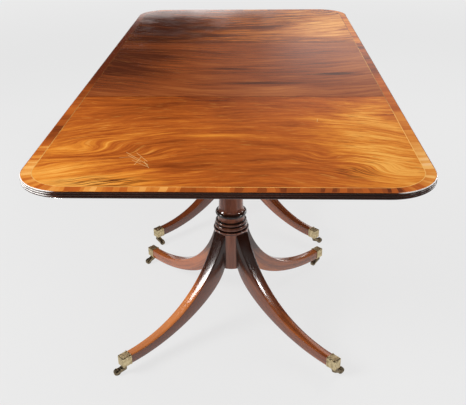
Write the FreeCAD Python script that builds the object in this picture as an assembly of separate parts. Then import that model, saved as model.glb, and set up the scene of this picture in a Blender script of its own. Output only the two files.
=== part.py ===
# Triple pedestal dining table
# Three free-standing sections stand end to end along Y. Each is a reeded, crossbanded top on a turned
# column with four sabre legs, brass toe caps and swivelling castors. Dowels line the tops up at the two
# seams and swinging hooks under them hold the sections together.
# Millimetres, Z up, origin on the floor under the middle of the table.

import FreeCAD
import Part
import math
import os
from dataclasses import dataclass

Vector = FreeCAD.Vector
UP = Vector(0, 0, 1)
ACROSS = Vector(0, 1, 0)
ORIGIN = Vector(0, 0, 0)

# Overall sizes
TABLE_HEIGHT = 740.0
TOP_WIDTH = 1280.0
END_LENGTH = 880.0
MIDDLE_LENGTH = 900.0
SEAM_GAP = 0.8

# Fits
FIT_CLEARANCE = 0.05
RUNNING_CLEARANCE = 0.1
LOOSE_CLEARANCE = 0.4

# Top boards, with reeds round the outer edge and the inlay let into their upper face
TOP_THICKNESS = 22.0
CORNER_RADIUS = 165.0
REED_COUNT = 3
REED_DEPTH = 2.6
EDGE_MARGIN = 2.0
BAND_WIDTH = 30.0
STRING_WIDTH = 2.4
INLAY_DEPTH = 3.0

# Dowels that line up the seams
DOWELS_PER_SEAM = 3
DOWEL_SPACING = 300.0
DOWEL_RADIUS = 5.0
DOWEL_SEAT = 26.0
DOWEL_REACH = 14.0
DOWEL_HOLE_SPARE = 2.0

# Hooks under the seams, and the headed screws that they turn on and catch
CATCH_INSET = 190.0
CATCH_OFFSET = 28.0
CATCH_WIDTH = 18.0
CATCH_THICKNESS = 3.0
STUD_RADIUS = 3.0
STUD_HEAD_RADIUS = 6.5
STUD_HEAD_HEIGHT = 3.0
STUD_SEAT = 10.0

# Bearers under each top
BEARER_LENGTH = 760.0
BEARER_WIDTH = 42.0
BEARER_HEIGHT = 44.0
BEARER_TIP_HEIGHT = 18.0
BEARER_TAPER = 130.0

# Block between the bearers, on the column's tenon
BLOCK_SIDE = 200.0
BLOCK_THICKNESS = 44.0
BLOCK_CHAMFER = 8.0
TENON_RADIUS = 25.0

# Wood screws that hold the bearers and the block to the top
SCREW_RADIUS = 2.2
SCREW_HEAD_RADIUS = 4.5
SCREW_HEAD_HEIGHT = 3.0
SCREW_GRIP = 22.0
SCREW_BITE = 13.0
SCREW_POCKET_CLEARANCE = 0.5
BEARER_SCREW_SPACING = 300.0
BLOCK_SCREW_SPACING = 140.0

# Column: drum, lip, shrinking beads, neck, ring, flared and tapering shaft and capital, from the bottom up
DRUM_BOTTOM = 236.0
DRUM_TOP = 382.0
DRUM_RADIUS = 60.5
LIP_OVERHANG = 2.8
LIP_HEIGHT = 8.0
LIP_BULGE = 1.8
BEAD_COUNT = 2
BEAD_HEIGHT = 18.0
BEAD_SHRINK = 0.72
BEAD_RADIUS = 56.6
BEAD_STEP = 3.6
BEAD_BULGE = 4.4
NECK_HEIGHT = 18.5
NECK_FOOT_RADIUS = 50.5
NECK_RADIUS = 48.5
NECK_HOLLOW = 0.8
RING_HEIGHT = 17.5
RING_BULGE = 8.6
FLARE_HEIGHT = 16.0
FLARE_HOLLOW = 1.0
SHAFT_RADIUS = 44.5
SHAFT_TOP_RADIUS = 37.5
ASTRAGAL_HEIGHT = 9.0
ASTRAGAL_BULGE = 4.0
CAPITAL_HEIGHT = 24.0
CAPITAL_HOLLOW = 5.0
CAPITAL_RADIUS = 52.0
ABACUS_HEIGHT = 8.0

# Sabre legs: an upper and a lower curve sweep from the drum to the toe
LEG_ROOT_TOP = 378.0
LEG_WIDTH = 54.0
LEG_CROWN = 3.0
LEG_STATIONS = 9
UPPER_SWEEP_OUT = 41.0
UPPER_SWEEP_DOWN = 128.0
UPPER_TOE_RUN = 255.0
LOWER_SWEEP_OUT = 31.0
LOWER_SWEEP_DOWN = 100.0
LOWER_TOE_RUN = 194.0
TOE_REACH = 491.0
TOE_WIDTH = 31.5
TOE_THICKNESS = 38.0
TOE_CROWN = 1.0

# Dovetail keys that slide up into the drum
KEY_DEPTH = 16.0
KEY_NECK_WIDTH = 18.0
KEY_BACK_WIDTH = 26.0
KEY_RISE = 8.0
KEY_HEIGHT = 116.0
KEY_BITE = 1.0

# Brass toe caps
CAP_LENGTH = 36.0
CAP_WALL = 2.5
CAP_PROUD = 0.8
CAP_CHAMFER = 2.5
CAP_BEAD_WIDTH = 4.0
CAP_BEAD_PROUD = 1.0

# Castors
CASTOR_HEIGHT = 35.5
WHEEL_RADIUS = 12.5
WHEEL_WIDTH = 12.0
WHEEL_ROUND = 1.5
WHEEL_HUB_RADIUS = 5.0
WHEEL_RIM = 3.0
WHEEL_DISH = 1.2
WHEEL_CLEARANCE = 1.2
WHEEL_SIDE_CLEARANCE = 0.4
AXLE_RADIUS = 2.4
AXLE_HEAD_RADIUS = 3.4
AXLE_HEAD_HEIGHT = 1.2
AXLE_BOSS_RADIUS = 5.0
HORN_CHEEK = 2.4
HORN_NECK_RADIUS = 8.5
HORN_NECK_DROP = 17.0
HORN_NECK_ROUND = 2.0
HORN_ARM_RADIUS = 6.5
HORN_FLANGE_RADIUS = 10.5
HORN_FLANGE_HEIGHT = 2.0
HORN_GAP = 0.3
HORN_TRAIL = 27.0
PIVOT_INSET = 13.5
PIVOT_RADIUS = 4.0
PIVOT_HEAD_RADIUS = 5.6
PIVOT_HEAD_HEIGHT = 2.5

# Where each castor trails to at rest, in degrees from +X, in the order of the legs' names
CASTOR_HEADINGS = {
    "front": (206.0, 30.0, 226.0, 222.0),
    "middle": (320.0, 28.0, 78.0, 150.0),
    "rear": (190.0, 300.0, 20.0, 115.0),
}
LEG_NAMES = ("front_left", "front_right", "rear_right", "rear_left")
FIRST_LEG_ANGLE = 225.0

# Levels and places that follow from the sizes above
TOP_UNDERSIDE = TABLE_HEIGHT - TOP_THICKNESS
SEAM_HALF = MIDDLE_LENGTH / 2
BAND_START = REED_DEPTH + EDGE_MARGIN
STRING_START = BAND_START + BAND_WIDTH
FIELD_START = STRING_START + STRING_WIDTH
DOWEL_LEVEL = TABLE_HEIGHT - TOP_THICKNESS / 2
BEARER_OFFSET = BLOCK_SIDE / 2 + BEARER_WIDTH / 2
SCREW_SEAT = TOP_UNDERSIDE - SCREW_GRIP
HORN_TOP = CASTOR_HEIGHT - HORN_GAP
HORN_NECK_BOTTOM = HORN_TOP - HORN_NECK_DROP
CAP_BOTTOM = CASTOR_HEIGHT
TOE_BOTTOM = CAP_BOTTOM + CAP_PROUD
TOE_TOP = TOE_BOTTOM + TOE_THICKNESS
PIVOT_REACH = TOE_REACH + CAP_LENGTH - PIVOT_INSET
FORK_HALF_GAP = WHEEL_WIDTH / 2 + WHEEL_SIDE_CLEARANCE
FORK_HALF_WIDTH = FORK_HALF_GAP + HORN_CHEEK
AXLE = Vector(HORN_TRAIL, 0, WHEEL_RADIUS)


@dataclass(frozen=True)
class Section:
    """One free-standing section: its name, its span along Y and which end is an outer edge, if any."""

    name: str
    start: float
    end: float
    outer: int

    @property
    def centre(self):
        """The middle of the section, where its column stands."""
        return (self.start + self.end) / 2

    @property
    def seam(self):
        """The end that meets the middle section."""
        return self.end if self.outer < 0 else self.start

    @property
    def outside(self):
        """The end that is an outer edge."""
        return self.start if self.outer < 0 else self.end


def sections():
    """The three sections, from the front of the table to the rear."""
    seam = SEAM_HALF + SEAM_GAP
    return (
        Section("front", -seam - END_LENGTH, -seam, -1),
        Section("middle", -SEAM_HALF, SEAM_HALF, 0),
        Section("rear", seam, seam + END_LENGTH, 1),
    )


# Small helpers

def arc(first, middle, last):
    """An arc edge through three points."""
    return Part.Arc(first, middle, last).toShape()


def line(first, last):
    """A straight edge between two points."""
    return Part.LineSegment(first, last).toShape()


def cylinder(radius, height, base, axis=UP):
    """A cylinder standing on its base point along an axis."""
    return Part.makeCylinder(radius, height, base, axis)


def box(size, corner):
    """A box from its three sizes and its lowest corner."""
    return Part.makeBox(size.x, size.y, size.z, corner)


def turned(shape, degrees):
    """A copy of a shape turned about the Z axis."""
    copy = shape.copy()
    copy.rotate(ORIGIN, UP, degrees)
    return copy


def moved(shape, offset):
    """A copy of a shape moved by an offset."""
    copy = shape.copy()
    copy.translate(offset)
    return copy


def polygon(corners):
    """A closed outline through its corners."""
    return Part.makePolygon(corners + corners[:1])


def fused(shapes):
    """One clean solid made of several that touch or overlap."""
    first = shapes[0]
    return first.multiFuse(shapes[1:]).removeSplitter()


# Top board, crossband and stringing

def plan_outline(section, inset):
    """The closed plan outline of a section's top, drawn in from its outer edges only."""
    half = TOP_WIDTH / 2 - inset
    if section.outer == 0:
        return polygon([
            Vector(-half, section.start, 0),
            Vector(half, section.start, 0),
            Vector(half, section.end, 0),
            Vector(-half, section.end, 0),
        ])
    closing = line(Vector(half, section.seam, 0), Vector(-half, section.seam, 0))
    return Part.Wire(list(outer_edges(section, inset)) + [closing])


def outer_edges(section, inset):
    """The edges of an end section's outer edge: side, rounded corner, end, rounded corner and side."""
    half = TOP_WIDTH / 2 - inset
    radius = CORNER_RADIUS - inset
    seam = section.seam
    outside = section.outside - section.outer * inset
    turn = outside - section.outer * radius
    near = half - radius
    slope = radius * math.sqrt(0.5)
    bend = turn + section.outer * slope
    return (
        line(Vector(-half, seam, 0), Vector(-half, turn, 0)),
        arc(Vector(-half, turn, 0), Vector(-near - slope, bend, 0), Vector(-near, outside, 0)),
        line(Vector(-near, outside, 0), Vector(near, outside, 0)),
        arc(Vector(near, outside, 0), Vector(near + slope, bend, 0), Vector(half, turn, 0)),
        line(Vector(half, turn, 0), Vector(half, seam, 0)),
    )


def along_edge(section, profile):
    """The solids made by running a profile wire along a section's outer edge.

    The profile is drawn in the XZ plane, with X the distance in from the outermost edge.
    """
    left = moved(profile, Vector(-TOP_WIDTH / 2, 0, 0))
    if section.outer:
        spine = Part.Wire(list(outer_edges(section, 0)))
        return [spine.makePipeShell([moved(left, Vector(0, section.seam, 0))], True, False)]
    strip = Part.Face(moved(left, Vector(0, section.start, 0)))
    strip = strip.extrude(Vector(0, section.end - section.start, 0))
    return [strip, strip.mirror(ORIGIN, Vector(1, 0, 0))]


def rim_profile():
    """The board's edge in section: reeds outside, and the step that the inlay lies in."""
    reed = TOP_THICKNESS / REED_COUNT
    inner = FIELD_START
    bed = TABLE_HEIGHT - INLAY_DEPTH
    edges = [line(Vector(inner, 0, TOP_UNDERSIDE), Vector(REED_DEPTH, 0, TOP_UNDERSIDE))]
    for number in range(REED_COUNT):
        groove = Vector(REED_DEPTH, 0, TOP_UNDERSIDE + number * reed)
        crest = groove + Vector(-REED_DEPTH, 0, reed / 2)
        edges.append(arc(groove, crest, groove + UP * reed))
    corners = [
        Vector(REED_DEPTH, 0, TABLE_HEIGHT),
        Vector(BAND_START, 0, TABLE_HEIGHT),
        Vector(BAND_START, 0, bed),
        Vector(inner, 0, bed),
        Vector(inner, 0, TOP_UNDERSIDE),
    ]
    edges += [line(first, last) for first, last in zip(corners, corners[1:])]
    return Part.Wire(edges)


def inlay(section, start, width):
    """A strip let into the top, from a distance in from the edge and of a given width."""
    bed = TABLE_HEIGHT - INLAY_DEPTH
    profile = polygon([
        Vector(start, 0, bed),
        Vector(start + width, 0, bed),
        Vector(start + width, 0, TABLE_HEIGHT),
        Vector(start, 0, TABLE_HEIGHT),
    ])
    return Part.makeCompound(along_edge(section, profile))


def top_board(section):
    """The board: its field, its reeded rim, and the holes for dowels, screws and catch studs."""
    field = Part.Face(plan_outline(section, FIELD_START))
    field = moved(field.extrude(Vector(0, 0, TOP_THICKNESS)), Vector(0, 0, TOP_UNDERSIDE))
    board = fused([field] + along_edge(section, rim_profile()))
    holes = [cylinder(SCREW_RADIUS + FIT_CLEARANCE, SCREW_BITE, Vector(place.x, place.y, TOP_UNDERSIDE))
             for place in screw_places(section)]
    holes += [cylinder(STUD_RADIUS + FIT_CLEARANCE, STUD_SEAT, Vector(place.x, place.y, TOP_UNDERSIDE))
              for place in stud_places(section)]
    for place, direction in dowel_places():
        if section.outer == 0:
            holes.append(cylinder(DOWEL_RADIUS + FIT_CLEARANCE, DOWEL_SEAT, place, direction * -1))
        elif direction.y == section.outer:
            depth = SEAM_GAP + DOWEL_REACH + DOWEL_HOLE_SPARE
            holes.append(cylinder(DOWEL_RADIUS + LOOSE_CLEARANCE, depth, place, direction))
    return board.cut(holes)


# Dowels and catches at the seams

def dowel_places():
    """Each dowel's point on the middle board's edge, and the way it points."""
    for side in (-1, 1):
        for number in range(DOWELS_PER_SEAM):
            across = (number - (DOWELS_PER_SEAM - 1) / 2) * DOWEL_SPACING
            yield Vector(across, side * SEAM_HALF, DOWEL_LEVEL), Vector(0, side, 0)


def dowels():
    """Round-nosed dowels, glued in the middle board and loose in the end boards."""
    pins = []
    for place, direction in dowel_places():
        root = place - direction * DOWEL_SEAT
        tip = DOWEL_RADIUS / 2
        straight = DOWEL_SEAT + SEAM_GAP + DOWEL_REACH - tip
        pin = cylinder(DOWEL_RADIUS, straight, root, direction)
        nose = Part.makeCone(DOWEL_RADIUS, tip, tip, root + direction * straight, direction)
        pins.append(fused([pin, nose]))
    return Part.makeCompound(pins)


def catch_pivots():
    """Each catch's name, its pivot under the middle board, and its ways across and along the table."""
    for seam_name, along in (("front", -1), ("rear", 1)):
        for side_name, across in (("left", -1), ("right", 1)):
            inset = TOP_WIDTH / 2 - CATCH_INSET
            place = Vector(across * inset, along * (SEAM_HALF - CATCH_OFFSET), TOP_UNDERSIDE)
            yield f"{seam_name}_{side_name}_catch", place, across, along


def catch_reach():
    """The distance from a catch's pivot to the stud that it hooks."""
    return 2 * CATCH_OFFSET + SEAM_GAP


def stud_places(section):
    """The pivot screws of the middle board, or the studs of an end board."""
    for _, place, _, along in catch_pivots():
        if section.outer == 0:
            yield place
        elif along == section.outer:
            yield place + Vector(0, along * catch_reach(), 0)


def studs(section):
    """Headed screws that stand down from a board, far enough to hold a catch loosely."""
    shank = CATCH_THICKNESS + 2 * LOOSE_CLEARANCE
    screws = []
    for place in stud_places(section):
        body = cylinder(STUD_RADIUS, shank + STUD_SEAT, place - UP * shank)
        head = cylinder(STUD_HEAD_RADIUS, STUD_HEAD_HEIGHT, place - UP * (shank + STUD_HEAD_HEIGHT))
        screws.append(fused([body, head]))
    return Part.makeCompound(screws)


def catch(place, across, along):
    """A flat hook, swung back along the seam, with a notch on the edge that meets its stud."""
    reach = catch_reach()
    half = CATCH_WIDTH / 2
    slot = STUD_RADIUS + LOOSE_CLEARANCE
    base = Vector(0, 0, -LOOSE_CLEARANCE - CATCH_THICKNESS)
    tall = CATCH_THICKNESS
    arm = box(Vector(reach, CATCH_WIDTH, tall), base + Vector(0, -half, 0))
    plate = fused([arm, cylinder(half, tall, base), cylinder(half, tall, base + Vector(reach, 0, 0))])
    ring = cylinder(reach + slot, tall, base).cut(cylinder(reach - slot, tall, base))
    notch = ring.common(box(Vector(2 * reach, 2 * reach, tall), base))
    eye = cylinder(STUD_RADIUS + RUNNING_CLEARANCE, tall, base)
    hook = plate.cut([notch, cylinder(slot, tall, base + Vector(reach, 0, 0)), eye])
    if along < 0:
        hook = hook.mirror(ORIGIN, Vector(0, 1, 0))
    if across > 0:
        hook = hook.mirror(ORIGIN, Vector(1, 0, 0))
    return moved(hook, place)


# Bearers, block and screws under the top

def screw_places(section):
    """The plan places of the screws through a section's bearers and block."""
    for across in (-1, 1):
        for along in (-1, 0, 1):
            yield Vector(across * BEARER_OFFSET, section.centre + along * BEARER_SCREW_SPACING, SCREW_SEAT)
    for across in (-1, 1):
        for along in (-1, 1):
            half = BLOCK_SCREW_SPACING / 2
            yield Vector(across * half, section.centre + along * half, SCREW_SEAT)


def screws(section):
    """Flat-headed wood screws, from the bottom of their pockets up into the top."""
    made = []
    for place in screw_places(section):
        shank = cylinder(SCREW_RADIUS, SCREW_GRIP + SCREW_BITE, place)
        head = cylinder(SCREW_HEAD_RADIUS, SCREW_HEAD_HEIGHT, place - UP * SCREW_HEAD_HEIGHT)
        made.append(fused([head, shank]))
    return Part.makeCompound(made)


def screw_holes(section, depth):
    """Clearance holes for the screws, with pockets for their heads open to a depth below the top."""
    holes = []
    for place in screw_places(section):
        holes.append(cylinder(SCREW_RADIUS + FIT_CLEARANCE, SCREW_GRIP, place))
        drop = depth - SCREW_GRIP
        holes.append(cylinder(SCREW_HEAD_RADIUS + SCREW_POCKET_CLEARANCE, drop, place - UP * drop))
    return holes


def bearers(section):
    """Two battens along the table, tapered at their ends, one each side of the block."""
    half = BEARER_LENGTH / 2
    square = half - BEARER_TAPER
    low = TOP_UNDERSIDE - BEARER_HEIGHT
    tip = TOP_UNDERSIDE - BEARER_TIP_HEIGHT
    outline = polygon([
        Vector(0, -half, TOP_UNDERSIDE),
        Vector(0, -half, tip),
        Vector(0, -square, low),
        Vector(0, square, low),
        Vector(0, half, tip),
        Vector(0, half, TOP_UNDERSIDE),
    ])
    batten = Part.Face(outline).extrude(Vector(BEARER_WIDTH, 0, 0))
    holes = screw_holes(section, BEARER_HEIGHT)
    pair = []
    for across in (-1, 1):
        place = Vector(across * BEARER_OFFSET - BEARER_WIDTH / 2, section.centre, 0)
        pair.append(moved(batten, place).cut(holes))
    return Part.makeCompound(pair)


def top_block(section):
    """The square block that the column's tenon passes through, with its lower edges chamfered."""
    half = BLOCK_SIDE / 2
    low = TOP_UNDERSIDE - BLOCK_THICKNESS
    block = box(Vector(BLOCK_SIDE, BLOCK_SIDE, BLOCK_THICKNESS), Vector(-half, -half, low))
    lower = [edge for edge in block.Edges if edge.BoundBox.ZMax < low + FIT_CLEARANCE]
    block = block.makeChamfer(BLOCK_CHAMFER, lower)
    block = block.cut(cylinder(TENON_RADIUS + FIT_CLEARANCE, BLOCK_THICKNESS, Vector(0, 0, low)))
    return moved(block, Vector(0, section.centre, 0)).cut(screw_holes(section, BLOCK_THICKNESS))


# Column

class Turning:
    """A lathe-turned profile, drawn from the bottom up in the XZ plane and spun about Z."""

    def __init__(self, height):
        self.bottom = height
        self.point = Vector(0, 0, height)
        self.edges = []

    def to(self, radius, height):
        """A straight cut to a radius and a level."""
        last = Vector(radius, 0, height)
        self.edges.append(line(self.point, last))
        self.point = last

    def curve(self, radius, rise, bulge):
        """An arc up to a radius; it swells out by a positive bulge and hollows in by a negative one."""
        last = Vector(radius, 0, self.point.z + rise)
        middle = (self.point + last) * 0.5 + Vector(bulge, 0, 0)
        self.edges.append(arc(self.point, middle, last))
        self.point = last

    def step(self, radius):
        """A flat shoulder to another radius."""
        self.to(radius, self.point.z)

    def solid(self):
        """The finished turning, closed down its axis."""
        self.step(0)
        self.to(0, self.bottom)
        return Part.Face(Part.Wire(self.edges)).revolve(ORIGIN, UP, 360)


def dovetail():
    """One dovetail key along +X, wider at its back, reaching a little into the leg."""
    back = DRUM_RADIUS - KEY_DEPTH
    front = DRUM_RADIUS + KEY_BITE
    flare = (KEY_BACK_WIDTH - KEY_NECK_WIDTH) / (2 * KEY_DEPTH)
    neck = KEY_NECK_WIDTH / 2 - flare * KEY_BITE
    level = DRUM_BOTTOM + KEY_RISE
    outline = polygon([
        Vector(back, -KEY_BACK_WIDTH / 2, level),
        Vector(front, -neck, level),
        Vector(front, neck, level),
        Vector(back, KEY_BACK_WIDTH / 2, level),
    ])
    return Part.Face(outline).extrude(UP * KEY_HEIGHT)


def leg_angles():
    """The way each leg points, in degrees from +X."""
    return [FIRST_LEG_ANGLE + number * 360 / len(LEG_NAMES) for number in range(len(LEG_NAMES))]


def column():
    """The turned column on the Z axis, with the dovetail housings that its legs slide up into."""
    profile = Turning(DRUM_BOTTOM)
    profile.step(DRUM_RADIUS)
    profile.to(DRUM_RADIUS, DRUM_TOP)
    profile.step(DRUM_RADIUS + LIP_OVERHANG)
    profile.curve(DRUM_RADIUS + LIP_OVERHANG, LIP_HEIGHT, LIP_BULGE)
    for number in range(BEAD_COUNT):
        radius = BEAD_RADIUS - number * BEAD_STEP
        profile.step(radius)
        profile.curve(radius, BEAD_HEIGHT * BEAD_SHRINK ** number, BEAD_BULGE)
    profile.step(NECK_FOOT_RADIUS)
    profile.curve(NECK_RADIUS, NECK_HEIGHT, -NECK_HOLLOW)
    profile.curve(NECK_RADIUS, RING_HEIGHT, RING_BULGE)
    profile.curve(SHAFT_RADIUS, FLARE_HEIGHT, -FLARE_HOLLOW)
    cap_top = TOP_UNDERSIDE - BLOCK_THICKNESS
    shaft_top = cap_top - ABACUS_HEIGHT - CAPITAL_HEIGHT - ASTRAGAL_HEIGHT
    profile.to(SHAFT_TOP_RADIUS, shaft_top)
    profile.curve(SHAFT_TOP_RADIUS, ASTRAGAL_HEIGHT, ASTRAGAL_BULGE)
    profile.curve(CAPITAL_RADIUS, CAPITAL_HEIGHT, -CAPITAL_HOLLOW)
    profile.to(CAPITAL_RADIUS, cap_top)
    profile.step(TENON_RADIUS)
    profile.to(TENON_RADIUS, TOP_UNDERSIDE)
    housing = dovetail()
    mouth = moved(housing, Vector(0, 0, -KEY_RISE))
    housing = fused([housing, mouth])
    return profile.solid().cut([turned(housing, angle) for angle in leg_angles()])


# Legs

def bezier(poles, share):
    """The point of a four-pole curve at a share of its course."""
    rest = 1 - share
    first, second, third, last = poles
    inner = (second * rest + third * share) * (3 * rest * share)
    return first * rest ** 3 + inner + last * share ** 3


def leg_section(upper, lower, width, crown):
    """A leg's outline across its run: flat sides and underside, and a crowned upper face."""
    side = Vector(0, width / 2, 0)
    rise = (upper - lower).normalize() * crown
    return Part.Wire([
        line(lower - side, lower + side),
        line(lower + side, upper + side),
        arc(upper + side, upper + rise, upper - side),
        line(upper - side, lower - side),
    ])


def leg():
    """One leg along +X: its swept body, the key at its root and the tenon in its toe cap."""
    upper = (
        Vector(DRUM_RADIUS, 0, LEG_ROOT_TOP - LEG_CROWN),
        Vector(DRUM_RADIUS + UPPER_SWEEP_OUT, 0, LEG_ROOT_TOP - UPPER_SWEEP_DOWN),
        Vector(TOE_REACH - UPPER_TOE_RUN, 0, TOE_TOP - TOE_CROWN),
        Vector(TOE_REACH, 0, TOE_TOP - TOE_CROWN),
    )
    lower = (
        Vector(DRUM_RADIUS, 0, DRUM_BOTTOM),
        Vector(DRUM_RADIUS + LOWER_SWEEP_OUT, 0, DRUM_BOTTOM - LOWER_SWEEP_DOWN),
        Vector(TOE_REACH - LOWER_TOE_RUN, 0, TOE_BOTTOM),
        Vector(TOE_REACH, 0, TOE_BOTTOM),
    )
    wires = []
    for number in range(LEG_STATIONS):
        share = number / (LEG_STATIONS - 1)
        width = LEG_WIDTH + (TOE_WIDTH - LEG_WIDTH) * share
        crown = LEG_CROWN + (TOE_CROWN - LEG_CROWN) * share
        wires.append(leg_section(bezier(upper, share), bezier(lower, share), width, crown))
    body = Part.makeLoft(wires, True)
    root = Part.Face(wires[0]).extrude(Vector(-KEY_DEPTH, 0, 0))
    drum = cylinder(DRUM_RADIUS, LEG_ROOT_TOP - DRUM_BOTTOM, Vector(0, 0, DRUM_BOTTOM))
    swept = fused([body, root]).cut(drum)
    return fused([swept, dovetail(), toe_tenon()]).cut(pivot_pocket())


def cap_box(wall):
    """The toe cap's box along +X, drawn in by a wall on its sides and closed end, and open at its mouth."""
    length = CAP_LENGTH - wall
    width = TOE_WIDTH + 2 * (CAP_PROUD - wall)
    height = TOE_THICKNESS + 2 * (CAP_PROUD - wall)
    return box(Vector(length, width, height), Vector(TOE_REACH, -width / 2, CAP_BOTTOM + wall))


def toe_tenon():
    """The leg's end, cut down to go into its toe cap."""
    return cap_box(CAP_WALL + FIT_CLEARANCE)


def pivot_pocket():
    """The room in a leg's tenon for the castor's riveted head."""
    level = CAP_BOTTOM + CAP_WALL
    height = HORN_GAP + PIVOT_HEAD_HEIGHT + LOOSE_CLEARANCE
    return cylinder(PIVOT_HEAD_RADIUS + LOOSE_CLEARANCE, height, Vector(PIVOT_REACH, 0, level))


def legs():
    """The four legs round the Z axis."""
    one = leg()
    return Part.makeCompound([turned(one, angle) for angle in leg_angles()])


# Toe caps

def toe_cap():
    """One brass box cap along +X, with chamfered edges, a bead round its mouth and the castor's bore."""
    shell = cap_box(0)
    mouth = TOE_REACH + FIT_CLEARANCE
    shell = shell.makeChamfer(CAP_CHAMFER, [edge for edge in shell.Edges if edge.BoundBox.XMax > mouth])
    wide = TOE_WIDTH + 2 * (CAP_PROUD + CAP_BEAD_PROUD)
    tall = TOE_THICKNESS + 2 * CAP_PROUD + CAP_BEAD_PROUD
    bead = box(Vector(CAP_BEAD_WIDTH, wide, tall), Vector(TOE_REACH, -wide / 2, CAP_BOTTOM))
    ridges = [edge for edge in bead.Edges if edge.BoundBox.XLength > FIT_CLEARANCE]
    shell = fused([shell, bead.makeChamfer(CAP_CHAMFER, ridges)])
    bore = cylinder(PIVOT_RADIUS + RUNNING_CLEARANCE, CAP_WALL, Vector(PIVOT_REACH, 0, CAP_BOTTOM))
    return shell.cut([cap_box(CAP_WALL), bore])


def toe_caps():
    """The four caps round the Z axis."""
    one = toe_cap()
    return Part.makeCompound([turned(one, angle) for angle in leg_angles()])


# Castors, drawn with the pivot on the Z axis and the wheel trailing along +X

def link(first, first_radius, last, last_radius):
    """The outline, in the XZ plane, of a bar that tapers between two rounded ends."""
    run = last - first
    lean = math.atan2(run.z, run.x)
    spread = math.acos((first_radius - last_radius) / run.Length)

    def rim(centre, radius, angle):
        return centre + Vector(math.cos(angle), 0, math.sin(angle)) * radius

    first_low = rim(first, first_radius, lean - spread)
    first_high = rim(first, first_radius, lean + spread)
    last_low = rim(last, last_radius, lean - spread)
    last_high = rim(last, last_radius, lean + spread)
    return Part.Wire([
        line(first_low, last_low),
        arc(last_low, rim(last, last_radius, lean), last_high),
        line(last_high, first_high),
        arc(first_high, rim(first, first_radius, lean + math.pi), first_low),
    ])


def axle_rod(radius, half_length):
    """A round rod along the axle, as long on one side of the fork's middle as on the other."""
    return cylinder(radius, 2 * half_length, AXLE - ACROSS * half_length, ACROSS)


def horn():
    """The fork: a round neck with a flange and pivot above it, and tapered cheeks out to the axle."""
    root = Vector(0, 0, HORN_NECK_BOTTOM + HORN_ARM_RADIUS)
    outline = link(root, HORN_ARM_RADIUS, AXLE, AXLE_BOSS_RADIUS)
    fork = moved(Part.Face(outline), ACROSS * -FORK_HALF_WIDTH).extrude(ACROSS * (2 * FORK_HALF_WIDTH))
    slot = axle_rod(WHEEL_RADIUS + WHEEL_CLEARANCE, FORK_HALF_GAP)
    hole = axle_rod(AXLE_RADIUS + FIT_CLEARANCE, FORK_HALF_WIDTH)
    neck = Turning(HORN_NECK_BOTTOM)
    soft = HORN_NECK_ROUND * (math.sqrt(2) - 1) / 2
    neck.step(HORN_NECK_RADIUS - HORN_NECK_ROUND)
    neck.curve(HORN_NECK_RADIUS, HORN_NECK_ROUND, soft)
    neck.to(HORN_NECK_RADIUS, HORN_TOP - HORN_FLANGE_HEIGHT)
    neck.step(HORN_FLANGE_RADIUS)
    neck.to(HORN_FLANGE_RADIUS, HORN_TOP)
    neck.step(PIVOT_RADIUS)
    neck.to(PIVOT_RADIUS, CAP_BOTTOM + CAP_WALL + HORN_GAP)
    neck.step(PIVOT_HEAD_RADIUS)
    neck.to(PIVOT_HEAD_RADIUS, CAP_BOTTOM + CAP_WALL + HORN_GAP + PIVOT_HEAD_HEIGHT)
    return fused([fork.cut([slot, hole]), neck.solid()])


def axle_pin():
    """The pin pressed through the fork, with a low head at each end."""
    pieces = [axle_rod(AXLE_RADIUS, FORK_HALF_WIDTH)]
    for outward in (ACROSS, ACROSS * -1):
        seat = AXLE + outward * FORK_HALF_WIDTH
        pieces.append(cylinder(AXLE_HEAD_RADIUS, AXLE_HEAD_HEIGHT, seat, outward))
    return fused(pieces)


def wheel():
    """The wheel: a rounded tread, dished sides and a bored hub, turned about its axle."""
    half = WHEEL_WIDTH / 2
    bore = AXLE_RADIUS + RUNNING_CLEARANCE
    dish = WHEEL_RADIUS - WHEEL_RIM
    soft = WHEEL_ROUND * (1 - math.sqrt(0.5))
    corners = [
        Vector(WHEEL_RADIUS, half - WHEEL_ROUND, 0),
        Vector(WHEEL_RADIUS, 0, 0),
        Vector(bore, 0, 0),
        Vector(bore, half, 0),
        Vector(WHEEL_HUB_RADIUS, half, 0),
        Vector(WHEEL_HUB_RADIUS, half - WHEEL_DISH, 0),
        Vector(dish, half - WHEEL_DISH, 0),
        Vector(dish, half, 0),
        Vector(WHEEL_RADIUS - WHEEL_ROUND, half, 0),
    ]
    edges = [line(first, last) for first, last in zip(corners, corners[1:])]
    edges.append(arc(corners[-1], Vector(WHEEL_RADIUS - soft, half - soft, 0), corners[0]))
    side = Part.Face(Part.Wire(edges)).revolve(ORIGIN, ACROSS, 360)
    return moved(fused([side, side.mirror(ORIGIN, ACROSS)]), AXLE)


def castors(section):
    """Each castor's name with its horn and wheel, turned to its heading and put under its leg."""
    fork = Part.makeCompound([horn(), axle_pin()])
    roller = wheel()
    for name, angle, heading in zip(LEG_NAMES, leg_angles(), CASTOR_HEADINGS[section.name]):
        reach = math.radians(angle)
        place = Vector(PIVOT_REACH * math.cos(reach), section.centre + PIVOT_REACH * math.sin(reach), 0)
        yield name, moved(turned(fork, heading), place), moved(turned(roller, heading), place)


# The whole table

def section_nodes(section):
    """Every named piece of one section."""
    place = Vector(0, section.centre, 0)
    nodes = {
        "top_board": top_board(section),
        "crossband": inlay(section, BAND_START, BAND_WIDTH),
        "stringing": inlay(section, STRING_START, STRING_WIDTH),
        "bearers": bearers(section),
        "top_block": top_block(section),
        "screws": screws(section),
        "column": moved(column(), place),
        "legs": moved(legs(), place),
        "toe_caps": moved(toe_caps(), place),
    }
    nodes["catch_studs" if section.outer else "catch_pivots"] = studs(section)
    for name, fork, roller in castors(section):
        nodes[f"{name}_castor_horn"] = fork
        nodes[f"{name}_castor_wheel"] = roller
    return {f"{section.name}_{name}": shape for name, shape in nodes.items()}


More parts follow.
